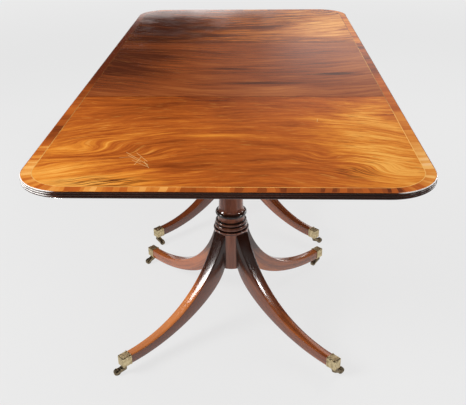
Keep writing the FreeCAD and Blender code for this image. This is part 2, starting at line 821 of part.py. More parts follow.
def main():
    """Build every piece and write each to its own file."""
    nodes = {}
    for section in sections():
        nodes.update(section_nodes(section))
    nodes["seam_dowels"] = dowels()
    for name, place, across, along in catch_pivots():
        nodes[name] = catch(place, across, along)
    os.makedirs("parts", exist_ok=True)
    for name, shape in nodes.items():
        if not shape.isValid():
            raise ValueError(f"{name} is not a valid shape")
        shape.exportStep(f"parts/{name}.step")
        print(f"{name}: {len(shape.Solids)} solids, {shape.Volume / 1000:.1f} cm3")


main()
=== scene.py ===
"""Looks of a long pedestal dining table: figured tops, inlaid bands, sabre legs and aged brass castors."""

import logging
import math
from dataclasses import dataclass
from enum import Enum
from typing import Iterable, Optional, Sequence, Union

import bmesh
import bpy
from mathutils import Matrix, Vector


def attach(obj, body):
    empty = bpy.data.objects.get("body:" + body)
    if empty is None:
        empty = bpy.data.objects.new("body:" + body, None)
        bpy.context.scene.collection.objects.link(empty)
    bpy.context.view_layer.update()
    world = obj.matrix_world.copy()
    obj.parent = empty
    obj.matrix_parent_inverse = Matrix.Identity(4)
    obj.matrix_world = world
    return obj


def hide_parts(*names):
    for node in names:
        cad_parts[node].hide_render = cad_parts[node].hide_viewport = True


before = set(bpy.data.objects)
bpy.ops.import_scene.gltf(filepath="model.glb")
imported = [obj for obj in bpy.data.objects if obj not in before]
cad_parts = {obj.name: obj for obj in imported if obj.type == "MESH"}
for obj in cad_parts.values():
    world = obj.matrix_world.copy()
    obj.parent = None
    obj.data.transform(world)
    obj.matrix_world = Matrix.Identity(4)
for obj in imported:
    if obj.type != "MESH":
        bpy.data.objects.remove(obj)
log = logging.getLogger("table")

Colour = tuple[float, float, float, float]
Place = tuple[float, float, float]
Pair = tuple[float, float]
Socket = bpy.types.NodeSocket
Feed = Union[float, Sequence[float], Socket]

# Lengths in metres, as everywhere below
COLUMN_STEP = 0.8908
BUMP_DEPTH = 0.0004
MERGE_DISTANCE = 1e-6
KEY_DIGITS = 6

# The flat of a board, and the middle and usual range of noise
FLAT = (1.0, 1.0, 0.0)
MIDDLE_NOISE = 0.5
USUAL_NOISE = (0.3, 0.7)


class Section(Enum):
    """The three free-standing sections and where each column stands along the table."""

    FRONT = ("front", -COLUMN_STEP)
    MIDDLE = ("middle", 0.0)
    REAR = ("rear", COLUMN_STEP)

    @property
    def label(self) -> str:
        """The word that starts the names of the section's nodes."""
        return self.value[0]

    @property
    def centre(self) -> float:
        """The column's place along Y, in metres."""
        return self.value[1]

    @property
    def body(self) -> str:
        """The body that the section's fixed pieces ride on."""
        return f"{self.label}_section"


def linear(value: float) -> float:
    """A display value of 0 to 255 as linear light."""
    share = value / 255
    return share / 12.92 if share <= 0.04045 else ((share + 0.055) / 1.055) ** 2.4


def rgb(red: float, green: float, blue: float) -> Colour:
    """The linear colour of three display values."""
    return (linear(red), linear(green), linear(blue), 1.0)


def share_of(value: float, start: float, run: float) -> float:
    """How far a value has come along a run, from 0 to 1."""
    return min(max((value - start) / run, 0.0), 1.0)


class Sheet:
    """Places shader nodes in one tree and wires them."""

    def __init__(self, tree: bpy.types.NodeTree) -> None:
        """Take the tree that the nodes go into."""
        self.tree = tree

    def feed(self, socket: Socket, value: Feed) -> None:
        """Link a socket, or set it where the value is plain.

        Args:
            socket: The input to fill.
            value: Another node's output, or a number, vector or colour.
        """
        if isinstance(value, Socket):
            self.tree.links.new(value, socket)
        else:
            socket.default_value = value

    def node(self, kind: str, feeds: dict[Union[str, int], Feed], **settings: object) -> bpy.types.Node:
        """Add one node.

        Args:
            kind: The node's type, without its common prefix.
            feeds: What goes into its inputs, by name or number.
            settings: Values of the node's own properties.

        Returns:
            The new node.
        """
        made = self.tree.nodes.new("ShaderNode" + kind)
        for name, value in settings.items():
            setattr(made, name, value)
        for key, value in feeds.items():
            self.feed(made.inputs[key], value)
        return made

    def spot(self) -> Socket:
        """The place on the object, in metres."""
        return self.node("TexCoord", {}).outputs["Object"]

    def height(self) -> Socket:
        """The height on the object, in metres."""
        return self.split(self.spot())[2]

    def read(self, name: str, output: str = "Vector") -> Socket:
        """What an attribute of the mesh says."""
        return self.node("Attribute", {}, attribute_name=name).outputs[output]

    def math(self, operation: str, *values: Feed) -> Socket:
        """One sum of numbers."""
        return self.node("Math", dict(enumerate(values)), operation=operation).outputs[0]

    def times(self, first: Feed, second: Feed) -> Socket:
        """Two numbers multiplied."""
        return self.math("MULTIPLY", first, second)

    def minus(self, first: Feed, second: Feed) -> Socket:
        """One number less another."""
        return self.math("SUBTRACT", first, second)

    def fused(self, value: Feed, factor: Feed, base: Feed) -> Socket:
        """A number times a factor, added to a base."""
        return self.math("MULTIPLY_ADD", value, factor, base)

    def apart(self, value: Feed, level: float = 0.0) -> Socket:
        """How far a number lies from a level, either way."""
        return self.math("ABSOLUTE", self.minus(value, level))

    def vector(self, operation: str, *values: Feed) -> Socket:
        """One sum of vectors that gives a vector."""
        return self.node("VectorMath", dict(enumerate(values)), operation=operation).outputs[0]

    def measure(self, operation: str, *values: Feed) -> Socket:
        """One sum of vectors that gives a number."""
        return self.node("VectorMath", dict(enumerate(values)), operation=operation).outputs["Value"]

    def split(self, vector: Feed) -> tuple[Socket, ...]:
        """A vector's three numbers."""
        return tuple(self.node("SeparateXYZ", {0: vector}).outputs)

    def join(self, across: Feed, along: Feed, up: Feed = 0.0) -> Socket:
        """A vector from three numbers."""
        return self.node("CombineXYZ", {0: across, 1: along, 2: up}).outputs[0]

    def noise(self, vector: Feed, scale: float = 1.0, detail: float = 2.0, rough: float = 0.5) -> Socket:
        """Soft noise between 0 and 1, with so many waves to the unit, finer layers and strength of those."""
        feeds = {"Vector": vector, "Scale": scale, "Detail": detail, "Roughness": rough}
        return self.node("TexNoise", feeds).outputs[0]

    def span(self, value: Feed, low: float, high: float, start: float = 0.0, end: float = 1.0) -> Socket:
        """A smooth step of a value, which gives the start at the low mark and the end at the high one."""
        feeds = {"Value": value, "From Min": low, "From Max": high, "To Min": start, "To Max": end}
        return self.node("MapRange", feeds, interpolation_type="SMOOTHSTEP").outputs[0]

    def mix(self, share: Feed, first: Feed, second: Feed) -> Socket:
        """Two colours mixed, by a share of the second."""
        return self.node("Mix", {0: share, 6: first, 7: second}, data_type="RGBA").outputs[2]

    def ramp(self, share: Feed, stops: Iterable[tuple[float, Colour]]) -> Socket:
        """A colour picked along a row of stops.

        Args:
            share: The place along the row.
            stops: Each stop's place and colour.

        Returns:
            The picked colour.
        """
        made = self.node("ValToRGB", {0: share})
        elements = made.color_ramp.elements
        for number, (place, colour) in enumerate(stops):
            element = elements[number] if number < 2 else elements.new(place)
            element.position = place
            element.color = colour
        return made.outputs[0]

    def place(self, group: bpy.types.NodeTree, **feeds: Feed) -> bpy.types.NodeOutputs:
        """Place a shared effect.

        Args:
            group: The effect's node group.
            feeds: Its inputs by name.

        Returns:
            Its outputs.
        """
        made = self.tree.nodes.new("ShaderNodeGroup")
        made.node_tree = group
        for name, value in feeds.items():
            self.feed(made.inputs[name], value)
        return made.outputs


class Effect:
    """A shader effect that several finishes share, built once as a node group."""

    name = "effect"
    takes: tuple[tuple[str, str, object], ...] = ()
    gives: tuple[str, ...] = ()

    @classmethod
    def group(cls) -> bpy.types.NodeTree:
        """The effect's node group, made on first use.

        Returns:
            The node group.
        """
        found = bpy.data.node_groups.get(cls.name)
        if found:
            return found
        tree = bpy.data.node_groups.new(cls.name, "ShaderNodeTree")
        for label, kind, value in cls.takes:
            socket = tree.interface.new_socket(name=label, in_out="INPUT", socket_type="NodeSocket" + kind)
            if value is not None:
                socket.default_value = value
        for label in cls.gives:
            tree.interface.new_socket(name=label, in_out="OUTPUT", socket_type="NodeSocketFloat")
        sheet = Sheet(tree)
        inputs = tree.nodes.new("NodeGroupInput").outputs
        outputs = tree.nodes.new("NodeGroupOutput").inputs
        given = {socket.name: socket for socket in inputs if socket.name}
        for label, value in cls.draw(sheet, given).items():
            sheet.feed(outputs[label], value)
        return tree

    @classmethod
    def draw(cls, sheet: Sheet, given: dict[str, Socket]) -> dict[str, Socket]:
        """Wire the effect on its group's sheet, from its inputs by name to its outputs by name."""
        raise NotImplementedError


class WoodFibre(Effect):
    """Fine fibre and open pores, for a grain that runs along the first axis, in metres."""

    name = "wood fibre"
    takes = (("Vector", "Vector", None),)
    gives = ("Fibre", "Pores")
    fibre_waves = (9.0, 260.0, 260.0)
    fibre_layers = (3.0, 0.6)
    pore_waves = (45.0, 1100.0, 1100.0)
    pore_edge = (0.62, 0.72)

    @classmethod
    def draw(cls, sheet: Sheet, given: dict[str, Socket]) -> dict[str, Socket]:
        """Wire the fibre and the pores.

        Args:
            sheet: The group's own sheet.
            given: Its inputs by name.

        Returns:
            Its outputs by name.
        """
        lines = sheet.vector("MULTIPLY", given["Vector"], cls.fibre_waves)
        dashes = sheet.noise(sheet.vector("MULTIPLY", given["Vector"], cls.pore_waves), detail=1.0)
        fibre = sheet.noise(lines, 1.0, *cls.fibre_layers)
        return {"Fibre": fibre, "Pores": sheet.span(dashes, *cls.pore_edge)}


class WoodStreaks(Effect):
    """Streaks, clouds and short flecks of colour, for a grain that runs along the first axis, in metres."""

    name = "wood streaks"
    takes = (("Vector", "Vector", None), ("Fineness", "Float", 40.0), ("Shortness", "Float", 4.0))
    gives = ("Streak", "Cloud", "Fleck")
    streak_layers = (6.0, 0.66)
    cloud_share = (0.45, 0.2, 0.2)
    cloud_layers = (3.0, 0.55)
    fleck_share = (2.2, 1.7, 1.7)

    @classmethod
    def draw(cls, sheet: Sheet, given: dict[str, Socket]) -> dict[str, Socket]:
        """Wire the streaks, the clouds and the flecks.

        Args:
            sheet: The group's own sheet.
            given: Its inputs by name.

        Returns:
            Its outputs by name.
        """
        along, across, deep = sheet.split(given["Vector"])
        fine = given["Fineness"]
        grain = sheet.join(sheet.times(along, given["Shortness"]), sheet.times(across, fine),
                           sheet.times(deep, fine))
        clouds = sheet.vector("MULTIPLY", grain, cls.cloud_share)
        flecks = sheet.vector("MULTIPLY", grain, cls.fleck_share)
        return {
            "Streak": sheet.noise(grain, 1.0, *cls.streak_layers),
            "Cloud": sheet.noise(clouds, 1.0, *cls.cloud_layers),
            "Fleck": sheet.noise(flecks),
        }


class Patch(Effect):
    """A soft oval patch on the flat of a board: 1 in its middle and 0 outside."""

    name = "oval patch"
    takes = (("Vector", "Vector", None), ("Middle", "Vector", None), ("Reach", "Vector", (1.0, 1.0, 1.0)))
    gives = ("Mask",)

    @classmethod
    def draw(cls, sheet: Sheet, given: dict[str, Socket]) -> dict[str, Socket]:
        """Wire the patch's mask.

        Args:
            sheet: The group's own sheet.
            given: Its inputs by name.

        Returns:
            Its outputs by name.
        """
        away = sheet.vector("SUBTRACT", given["Vector"], given["Middle"])
        scaled = sheet.vector("DIVIDE", away, given["Reach"])
        length = sheet.measure("LENGTH", sheet.vector("MULTIPLY", scaled, FLAT))
        return {"Mask": sheet.span(length, 0.0, 1.0, 1.0, 0.0)}


class Stroke(Effect):
    """A thin straight mark on the flat of a board: 1 along it and 0 beside it."""

    name = "straight mark"
    takes = (("Vector", "Vector", None), ("Start", "Vector", None), ("Run", "Vector", None),
             ("Width", "Float", 0.001))
    gives = ("Mask",)
    core = 0.3

    @classmethod
    def draw(cls, sheet: Sheet, given: dict[str, Socket]) -> dict[str, Socket]:
        """Wire the distance from the mark's middle line.

        Args:
            sheet: The group's own sheet.
            given: Its inputs by name.

        Returns:
            Its outputs by name.
        """
        run = given["Run"]
        flat = sheet.vector("MULTIPLY", sheet.vector("SUBTRACT", given["Vector"], given["Start"]), FLAT)
        done, whole = (sheet.measure("DOT_PRODUCT", way, run) for way in (flat, run))
        share = sheet.node("Clamp", {0: sheet.math("DIVIDE", done, whole)}).outputs[0]
        nearest = sheet.node("VectorMath", {0: run, "Scale": share}, operation="SCALE").outputs[0]
        away = sheet.math("DIVIDE", sheet.measure("DISTANCE", flat, nearest), given["Width"])
        return {"Mask": sheet.span(away, cls.core, 1.0, 1.0, 0.0)}


@dataclass(frozen=True)
class Spot:
    """An oval area of a board: its middle, its reach, and how far it turns or lightens the figure."""

    across: float
    along: float
    reach: Pair
    amount: float

    def mask(self, sheet: Sheet, place: Socket) -> Socket:
        """The area's soft mask: 1 in its middle and 0 outside."""
        middle, reach = (self.across, self.along, 0.0), (*self.reach, 1.0)
        return sheet.place(Patch.group(), Vector=place, Middle=middle, Reach=reach)["Mask"]


def spotted(sheet: Sheet, place: Socket, spots: Iterable[Spot], value: Feed) -> Feed:
    """A value with the amount of each area added inside it.

    Args:
        sheet: The material's own sheet.
        place: The place in metres.
        spots: The areas.
        value: The value outside them.

    Returns:
        The changed value.
    """
    for spot in spots:
        value = sheet.fused(spot.mask(sheet, place), spot.amount, value)
    return value


@dataclass(frozen=True)
class Scratch:
    """A thin pale scratch: where it starts, how it runs and half its width."""

    start: Pair
    run: Pair
    width: float = 0.0016


@dataclass(frozen=True)
class Shade:
    """A darkening by height: its middle level, how far it reaches up and down, and how strong it is."""

    level: float
    reach: float
    amount: float


@dataclass(frozen=True)
class Finish:
    """A finish: its name, gloss, and the way that it makes a material."""

    name: str
    roughness: float = 0.3
    coat: float = 0.0
    coat_rough: float = 0.06
    metal: float = 0.0
    bump: float = 0.1
    drift: Pair = (0.03, 0.05)

    def material(self) -> bpy.types.Material:
        """The finish as a material, made on first use.

        Returns:
            The material.
        """
        found = bpy.data.materials.get(self.name)
        if found:
            return found
        made = bpy.data.materials.new(self.name)
        made.use_nodes = True
        made.node_tree.nodes.clear()
        sheet = Sheet(made.node_tree)
        shader = sheet.node("BsdfPrincipled", {"Metallic": self.metal})
        if self.coat:
            sheet.feed(shader.inputs["Coat Weight"], self.polish(sheet))
            shader.inputs["Coat Roughness"].default_value = self.coat_rough
        colour, roughness, height = self.draw(sheet)
        sheet.feed(shader.inputs["Base Color"], colour)
        sheet.feed(shader.inputs["Roughness"], roughness)
        bump = sheet.node("Bump", {"Strength": self.bump, "Distance": BUMP_DEPTH, "Height": height})
        sheet.feed(shader.inputs["Normal"], bump.outputs[0])
        sheet.node("OutputMaterial", {"Surface": shader.outputs[0]}).is_active_output = True
        return made

    def polish(self, sheet: Sheet) -> Feed:
        """How thick the clear polish is."""
        return self.coat

    def gloss(self, sheet: Sheet, noise: Socket) -> Socket:
        """A roughness that drifts with noise, from a little less to a little more."""
        less, more = self.drift
        return sheet.span(noise, *USUAL_NOISE, self.roughness - less, self.roughness + more)

    def draw(self, sheet: Sheet) -> tuple[Feed, Feed, Feed]:
        """Wire the finish on the material's sheet, and give its colour, roughness and height."""
        raise NotImplementedError


@dataclass(frozen=True)
class FiguredBoard(Finish):
    """Polished, figured mahogany with the grain across the table."""

    roughness: float = 0.045
    bump: float = 0.02
    drift: Pair = (0.02, 0.03)
    dark: Colour = rgb(120, 50, 14)
    body: Colour = rgb(190, 96, 32)
    light: Colour = rgb(230, 140, 48)
    gold: Colour = rgb(252, 180, 84)
    vein: Colour = rgb(62, 24, 10)
    knot: Colour = rgb(88, 34, 12)
    scuff: Colour = rgb(255, 224, 150)
    fineness: float = 75.0
    shortness: float = 7.5
    flecks: float = 0.4
    arch: float = 0.4
    crown: float = 0.04
    arch_span: Pair = (-0.5, -0.92)
    seed: float = 0.0
    contrast: float = 0.6
    eyes: tuple[Spot, ...] = ()
    tones: tuple[Spot, ...] = ()
    lively: tuple[Spot, ...] = ()
    burrs: tuple[Spot, ...] = ()
    scratches: tuple[Scratch, ...] = ()
    joints: tuple[float, ...] = ()
    bends: tuple[tuple[Place, float], ...] = (
        ((2.4, 4.5, 0.0), 0.09), ((8.0, 17.0, 0.0), 0.011), ((21.0, 50.0, 0.0), 0.004))
    cloud_share: float = 0.6
    fibre_share: float = 0.36
    usual_sum: float = 0.98
    usual_tone: float = 0.4
    stops: tuple[float, ...] = (0.16, 0.42, 0.62, 0.84)
    light_flecks: Pair = (0.6, 0.74)
    dark_flecks: Pair = (0.4, 0.26)
    burr_waves: Place = (11.0, 130.0, 0.0)
    burr_edge: Pair = (0.46, 0.56)
    scuff_share: float = 0.42
    pore_share: float = 0.2
    dirt_edge: Pair = (0.004, 0.001)
    dirt_share: float = 0.6
    haze_waves: float = 7.0

    def flow(self, sheet: Sheet, place: Socket) -> Socket:
        """The place on the board, bent so that the grain runs along its first axis.

        Args:
            sheet: The material's own sheet.
            place: The place in metres.

        Returns:
            The bent place.
        """
        across, along, up = sheet.split(place)
        gate = sheet.span(along, *self.arch_span, 0.0, self.arch)
        off = sheet.minus(across, self.crown)
        bent = sheet.fused(sheet.times(off, off), gate, along)
        for waves, reach in self.bends:
            wave = sheet.noise(sheet.vector("MULTIPLY_ADD", place, waves, (self.seed, self.seed, self.seed)))
            bent = sheet.fused(sheet.minus(wave, MIDDLE_NOISE), reach, bent)
        bent = spotted(sheet, place, self.eyes, bent)
        return sheet.join(across, sheet.math("ADD", bent, self.seed), up)

    def figure(self, sheet: Sheet, place: Socket, flow: Socket) -> Socket:
        """The board's colour, from dark streaks to golden ones.

        Args:
            sheet: The material's own sheet.
            place: The place in metres.
            flow: The place along and across the grain.

        Returns:
            The colour.
        """
        streaks = sheet.place(WoodStreaks.group(), Vector=flow,
                              Fineness=self.fineness, Shortness=self.shortness)
        fibre = sheet.place(WoodFibre.group(), Vector=flow)["Fibre"]
        contrast = spotted(sheet, place, self.lively, self.contrast)
        tone = sheet.fused(streaks["Cloud"], self.cloud_share, streaks["Streak"])
        tone = sheet.minus(sheet.fused(fibre, self.fibre_share, tone), self.usual_sum)
        tone = spotted(sheet, place, self.tones, sheet.fused(tone, contrast, self.usual_tone))
        colour = sheet.ramp(tone, zip(self.stops, (self.dark, self.body, self.light, self.gold)))
        for edge, shade in ((self.light_flecks, self.gold), (self.dark_flecks, self.dark)):
            share = sheet.times(sheet.span(streaks["Fleck"], *edge, 0.0, self.flecks), contrast)
            colour = sheet.mix(share, colour, shade)
        for burr in self.burrs:
            dashes = sheet.noise(sheet.vector("MULTIPLY", flow, self.burr_waves))
            share = sheet.times(sheet.span(dashes, *self.burr_edge), burr.mask(sheet, place))
            colour = sheet.mix(sheet.times(share, burr.amount), colour, self.knot)
        return colour

    def draw(self, sheet: Sheet) -> tuple[Feed, Feed, Feed]:
        """Wire the board's figure, its scratches and the dirt along its joints.

        Args:
            sheet: The material's own sheet.

        Returns:
            Its colour, roughness and height.
        """
        place = sheet.spot()
        flow = self.flow(sheet, place)
        colour = self.figure(sheet, place, flow)
        for scratch in self.scratches:
            mark = sheet.place(Stroke.group(), Vector=place, Start=(*scratch.start, 0.0),
                               Run=(*scratch.run, 0.0), Width=scratch.width)["Mask"]
            colour = sheet.mix(sheet.times(mark, self.scuff_share), colour, self.scuff)
        pores = sheet.place(WoodFibre.group(), Vector=flow)["Pores"]
        colour = sheet.mix(sheet.times(pores, self.pore_share), colour, self.vein)
        along = sheet.split(place)[1]
        for joint in self.joints:
            dirt = sheet.span(sheet.apart(along, joint), *self.dirt_edge, 0.0, self.dirt_share)
            colour = sheet.mix(dirt, colour, self.vein)
        haze = sheet.noise(place, self.haze_waves, 3.0)
        return colour, self.gloss(sheet, haze), sheet.times(pores, -1.0)


@dataclass(frozen=True)
class BandVeneer(Finish):
    """Short-grain crossbanding: strips of different tone laid side by side, grain across the band."""

    dark: Colour = rgb(104, 44, 18)
    body: Colour = rgb(190, 96, 34)
    light: Colour = rgb(226, 142, 58)
    gold: Colour = rgb(250, 188, 106)
    bleached: Colour = rgb(252, 208, 160)
    tones: tuple[Spot, ...] = ()
    calm: tuple[Spot, ...] = ()
    stops: tuple[float, ...] = (0.25, 0.5, 0.68, 0.86, 1.0)
    bend_waves: float = 14.0
    bend: float = 0.02
    strip_counts: Pair = (20.0, 48.0)
    contrast: float = 0.2
    usual_sum: float = 1.0
    usual_tone: float = 0.26
    grain_waves: Place = (150.0, 12.0, 0.0)
    grain_layers: Pair = (3.0, 0.6)
    grain_share: float = 0.05
    broad_waves: float = 5.0
    broad_share: float = 0.4

    @staticmethod
    def strips(sheet: Sheet, way: Socket) -> Socket:
        """A tone that jumps from strip to strip along the way round."""
        made = sheet.node("TexVoronoi", {"W": way, "Scale": 1.0}, voronoi_dimensions="1D")
        return sheet.split(made.outputs["Color"])[0]

    def draw(self, sheet: Sheet) -> tuple[Feed, Feed, Feed]:
        """Wire the strips and the grain across them.

        Args:
            sheet: The material's own sheet.

        Returns:
            Its colour, roughness and height.
        """
        place, flow = sheet.spot(), sheet.read("band_flow")
        along, across, _ = sheet.split(flow)
        way = sheet.fused(sheet.noise(flow, self.bend_waves, 0.0), self.bend, along)
        lines = sheet.vector("MULTIPLY", sheet.join(way, across), self.grain_waves)
        grain = sheet.noise(lines, 1.0, *self.grain_layers)
        wide, narrow = (self.strips(sheet, sheet.times(way, count)) for count in self.strip_counts)
        tone = sheet.minus(sheet.math("ADD", wide, narrow), self.usual_sum)
        tone = sheet.fused(tone, spotted(sheet, place, self.calm, self.contrast), self.usual_tone)
        tone = sheet.fused(sheet.noise(place, self.broad_waves), self.broad_share, tone)
        tone = spotted(sheet, place, self.tones, sheet.fused(grain, self.grain_share, tone))
        shades = (self.dark, self.body, self.light, self.gold, self.bleached)
        return sheet.ramp(tone, zip(self.stops, shades)), self.roughness, grain


@dataclass(frozen=True)
class InlaidLine(Finish):
    """A thin inlaid line of pale wood, browned by age in places."""

    fresh: Colour = rgb(250, 190, 104)
    browned: Colour = rgb(104, 54, 26)
    tones: tuple[Spot, ...] = ()
    waves: float = 30.0
    age_share: float = 0.4
    turn: Pair = (0.1, 0.8)

    def draw(self, sheet: Sheet) -> tuple[Feed, Feed, Feed]:
        """Wire the browning along the line.

        Args:
            sheet: The material's own sheet.

        Returns:
            Its colour, roughness and height.
        """
        place = sheet.spot()
        tone = sheet.times(sheet.noise(place, self.waves, 3.0), self.age_share)
        tone = spotted(sheet, place, self.tones, tone)
        return sheet.mix(sheet.span(tone, *self.turn), self.browned, self.fresh), self.roughness, tone


@dataclass(frozen=True)
class PlainWood(Finish):
    """Straight-grained wood that follows a piece's own flow, or the object's axes where it has none."""

    dark: Colour = rgb(62, 28, 18)
    body: Colour = rgb(112, 58, 34)
    light: Colour = rgb(150, 86, 48)
    # The colour of a painted highlight, where a finish has one
    painted_highlight: Optional[Colour] = None
    # The colour of painted shade
    painted_shade: Colour = rgb(22, 11, 8)
    stops: tuple[float, ...] = (0.32, 0.5, 0.68, 1.0)
    grain: Place = (0.0, 0.0, 0.0)
    attribute: str = ""
    # An attribute whose value is added to the tone, painting light and shade
    painted_light: str = ""
    pores: float = 0.3
    filled: bool = False
    shades: tuple[Shade, ...] = ()
    thin_above: float = 0.0
    thin_share: float = 0.2
    thin_reach: float = 0.05
    waver_waves: float = 9.0
    waver: float = 0.012
    fineness: float = 60.0
    shortness: float = 2.0
    streak_share: float = 0.6
    cloud_share: float = 0.4
    fibre_share: float = 0.2
    swell_waves: float = 22.0

    def polish(self, sheet: Sheet) -> Feed:
        """How thick the clear polish is, thinner above a level where there is one.

        Args:
            sheet: The material's own sheet.

        Returns:
            The thickness.
        """
        if not self.thin_above:
            return self.coat
        low, high = self.thin_above - self.thin_reach, self.thin_above + self.thin_reach
        return sheet.span(sheet.height(), low, high, self.coat, self.coat * self.thin_share)

    def place(self, sheet: Sheet) -> Socket:
        """Where the grain is read: the piece's own flow, or its place turned so that the grain runs along X.

        Args:
            sheet: The material's own sheet.

        Returns:
            The place.
        """
        if self.attribute:
            return sheet.read(self.attribute)
        return sheet.node("Mapping", {"Vector": sheet.spot(), "Rotation": self.grain}).outputs[0]

    def draw(self, sheet: Sheet) -> tuple[Feed, Feed, Feed]:
        """Wire streaks, fibre and pores.

        Args:
            sheet: The material's own sheet.

        Returns:
            Its colour, roughness and height.
        """
        place = self.place(sheet)
        along, across, deep = sheet.split(place)
        sway = sheet.minus(sheet.noise(place, self.waver_waves), MIDDLE_NOISE)
        flow = sheet.join(along, sheet.fused(sway, self.waver, across), deep)
        streaks = sheet.place(WoodStreaks.group(), Vector=flow,
                              Fineness=self.fineness, Shortness=self.shortness)
        fibres = sheet.place(WoodFibre.group(), Vector=flow)
        tone = sheet.times(streaks["Streak"], self.streak_share)
        tone = sheet.fused(streaks["Cloud"], self.cloud_share, tone)
        tone = sheet.fused(sheet.minus(fibres["Fibre"], MIDDLE_NOISE), self.fibre_share, tone)
        # The attribute, where a piece has one, adds painted light and shade to the tone; a fourth colour is
        # a painted highlight
        if self.painted_light:
            tone = sheet.math("ADD", tone, sheet.read(self.painted_light, "Fac"))
        colours = (self.dark, self.body, self.light) + ((self.painted_highlight,) if self.painted_highlight else ())
        colour = sheet.ramp(tone, zip(self.stops, colours))
        colour = sheet.mix(sheet.times(fibres["Pores"], self.pores), colour, self.dark)
        # Each shade is painted shade, darkest at its level
        for shade in self.shades:
            away = sheet.apart(sheet.height(), shade.level)
            share = sheet.span(away, shade.reach, shade.reach / 2, 0.0, shade.amount)
            colour = sheet.mix(share, colour, self.painted_shade)
        swell = sheet.noise(place, self.swell_waves, 3.0)
        relief = swell if self.filled else sheet.times(fibres["Pores"], -1.0)
        return colour, self.gloss(sheet, swell), relief


@dataclass(frozen=True)
class AgedMetal(Finish):
    """Handled metal: a base tone with darker tarnish in patches and fine scuffs."""

    tone: Colour = rgb(178, 158, 112)
    tarnish: Colour = rgb(92, 76, 50)
    amount: float = 0.5
    metal: float = 1.0
    drift: Pair = (0.0, 0.16)
    cloud_noise: Place = (85.0, 4.0, 0.6)
    speck_waves: float = 520.0
    speck_share: float = 0.25
    tarnish_edge: Pair = (0.5, 0.82)

    def draw(self, sheet: Sheet) -> tuple[Feed, Feed, Feed]:
        """Wire the tarnish and scuffs.

        Args:
            sheet: The material's own sheet.

        Returns:
            Its colour, roughness and height.
        """
        place = sheet.spot()
        cloud = sheet.noise(place, *self.cloud_noise)
        speck = sheet.noise(place, self.speck_waves)
        share = sheet.span(sheet.fused(speck, self.speck_share, cloud), *self.tarnish_edge, 0.0, self.amount)
        return sheet.mix(share, self.tone, self.tarnish), self.gloss(sheet, cloud), speck


def show(name: str, data: bpy.types.ID) -> bpy.types.Object:
    """Put some data in the scene as a new object.

    Args:
        name: The object's name.
        data: Its mesh, lamp or camera.

    Returns:
        The object.
    """
    made = bpy.data.objects.new(name, data)
    bpy.context.scene.collection.objects.link(made)
    return made


def only(piece: bpy.types.Object) -> None:
    """Deselect everything and make one piece the active, selected one.

    Args:
        piece: The piece.
    """
    bpy.ops.object.select_all(action="DESELECT")
    piece.select_set(True)
    bpy.context.view_layer.objects.active = piece


def dress(piece: bpy.types.Object, finish: Finish) -> None:
    """Give a piece one finish all over.

    Args:
        piece: The piece.
        finish: Its finish.
    """
    piece.data.materials.clear()
    piece.data.materials.append(finish.material())
    for face in piece.data.polygons:
        face.material_index = 0


def dress_nodes(finishes: Sequence[tuple[str, Finish]]) -> None:
    """Dress each CAD node by the first word that its name holds.

    Args:
        finishes: The words and their finishes.
    """
    for node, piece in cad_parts.items():
        for word, finish in finishes:
            if word in node:
                dress(piece, finish)
                break


def copy_of(node: str, name: str) -> bpy.types.Object:
    """A merged copy of a CAD node with its own mesh, riding on nothing yet.

    Args:
        node: The node's name.
        name: The copy's name.

    Returns:
        The copy.
    """
    piece = show(name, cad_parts[node].data.copy())
    only(piece)
    bpy.ops.object.mode_set(mode="EDIT")
    bpy.ops.mesh.select_all(action="SELECT")
    bpy.ops.mesh.remove_doubles(threshold=MERGE_DISTANCE)
    bpy.ops.object.mode_set(mode="OBJECT")
    bpy.ops.mesh.customdata_custom_splitnormals_clear()
    return piece


def key_of(point: Vector) -> tuple[float, ...]:
    """A point rounded, so that it can be looked up."""
    return tuple(round(value, KEY_DIGITS) for value in point)


def soften(piece: bpy.types.Object, degrees: float) -> None:
    """Shade a piece smoothly over every edge that turns by less than an angle."""
    only(piece)
    bpy.ops.object.shade_smooth_by_angle(angle=math.radians(degrees))


def settle(piece: bpy.types.Object, body: str, slot: str, *nodes: str) -> None:
    """Make a piece ride on its body and stand for its nodes.

    Args:
        piece: The finished piece.
        body: The body that it moves with.
        slot: The record's material slot, which is not used.
        nodes: The nodes that it stands for.
    """
    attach(piece, body)
    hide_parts(*nodes)
    log.info("%s rides on %s", piece.name, body)


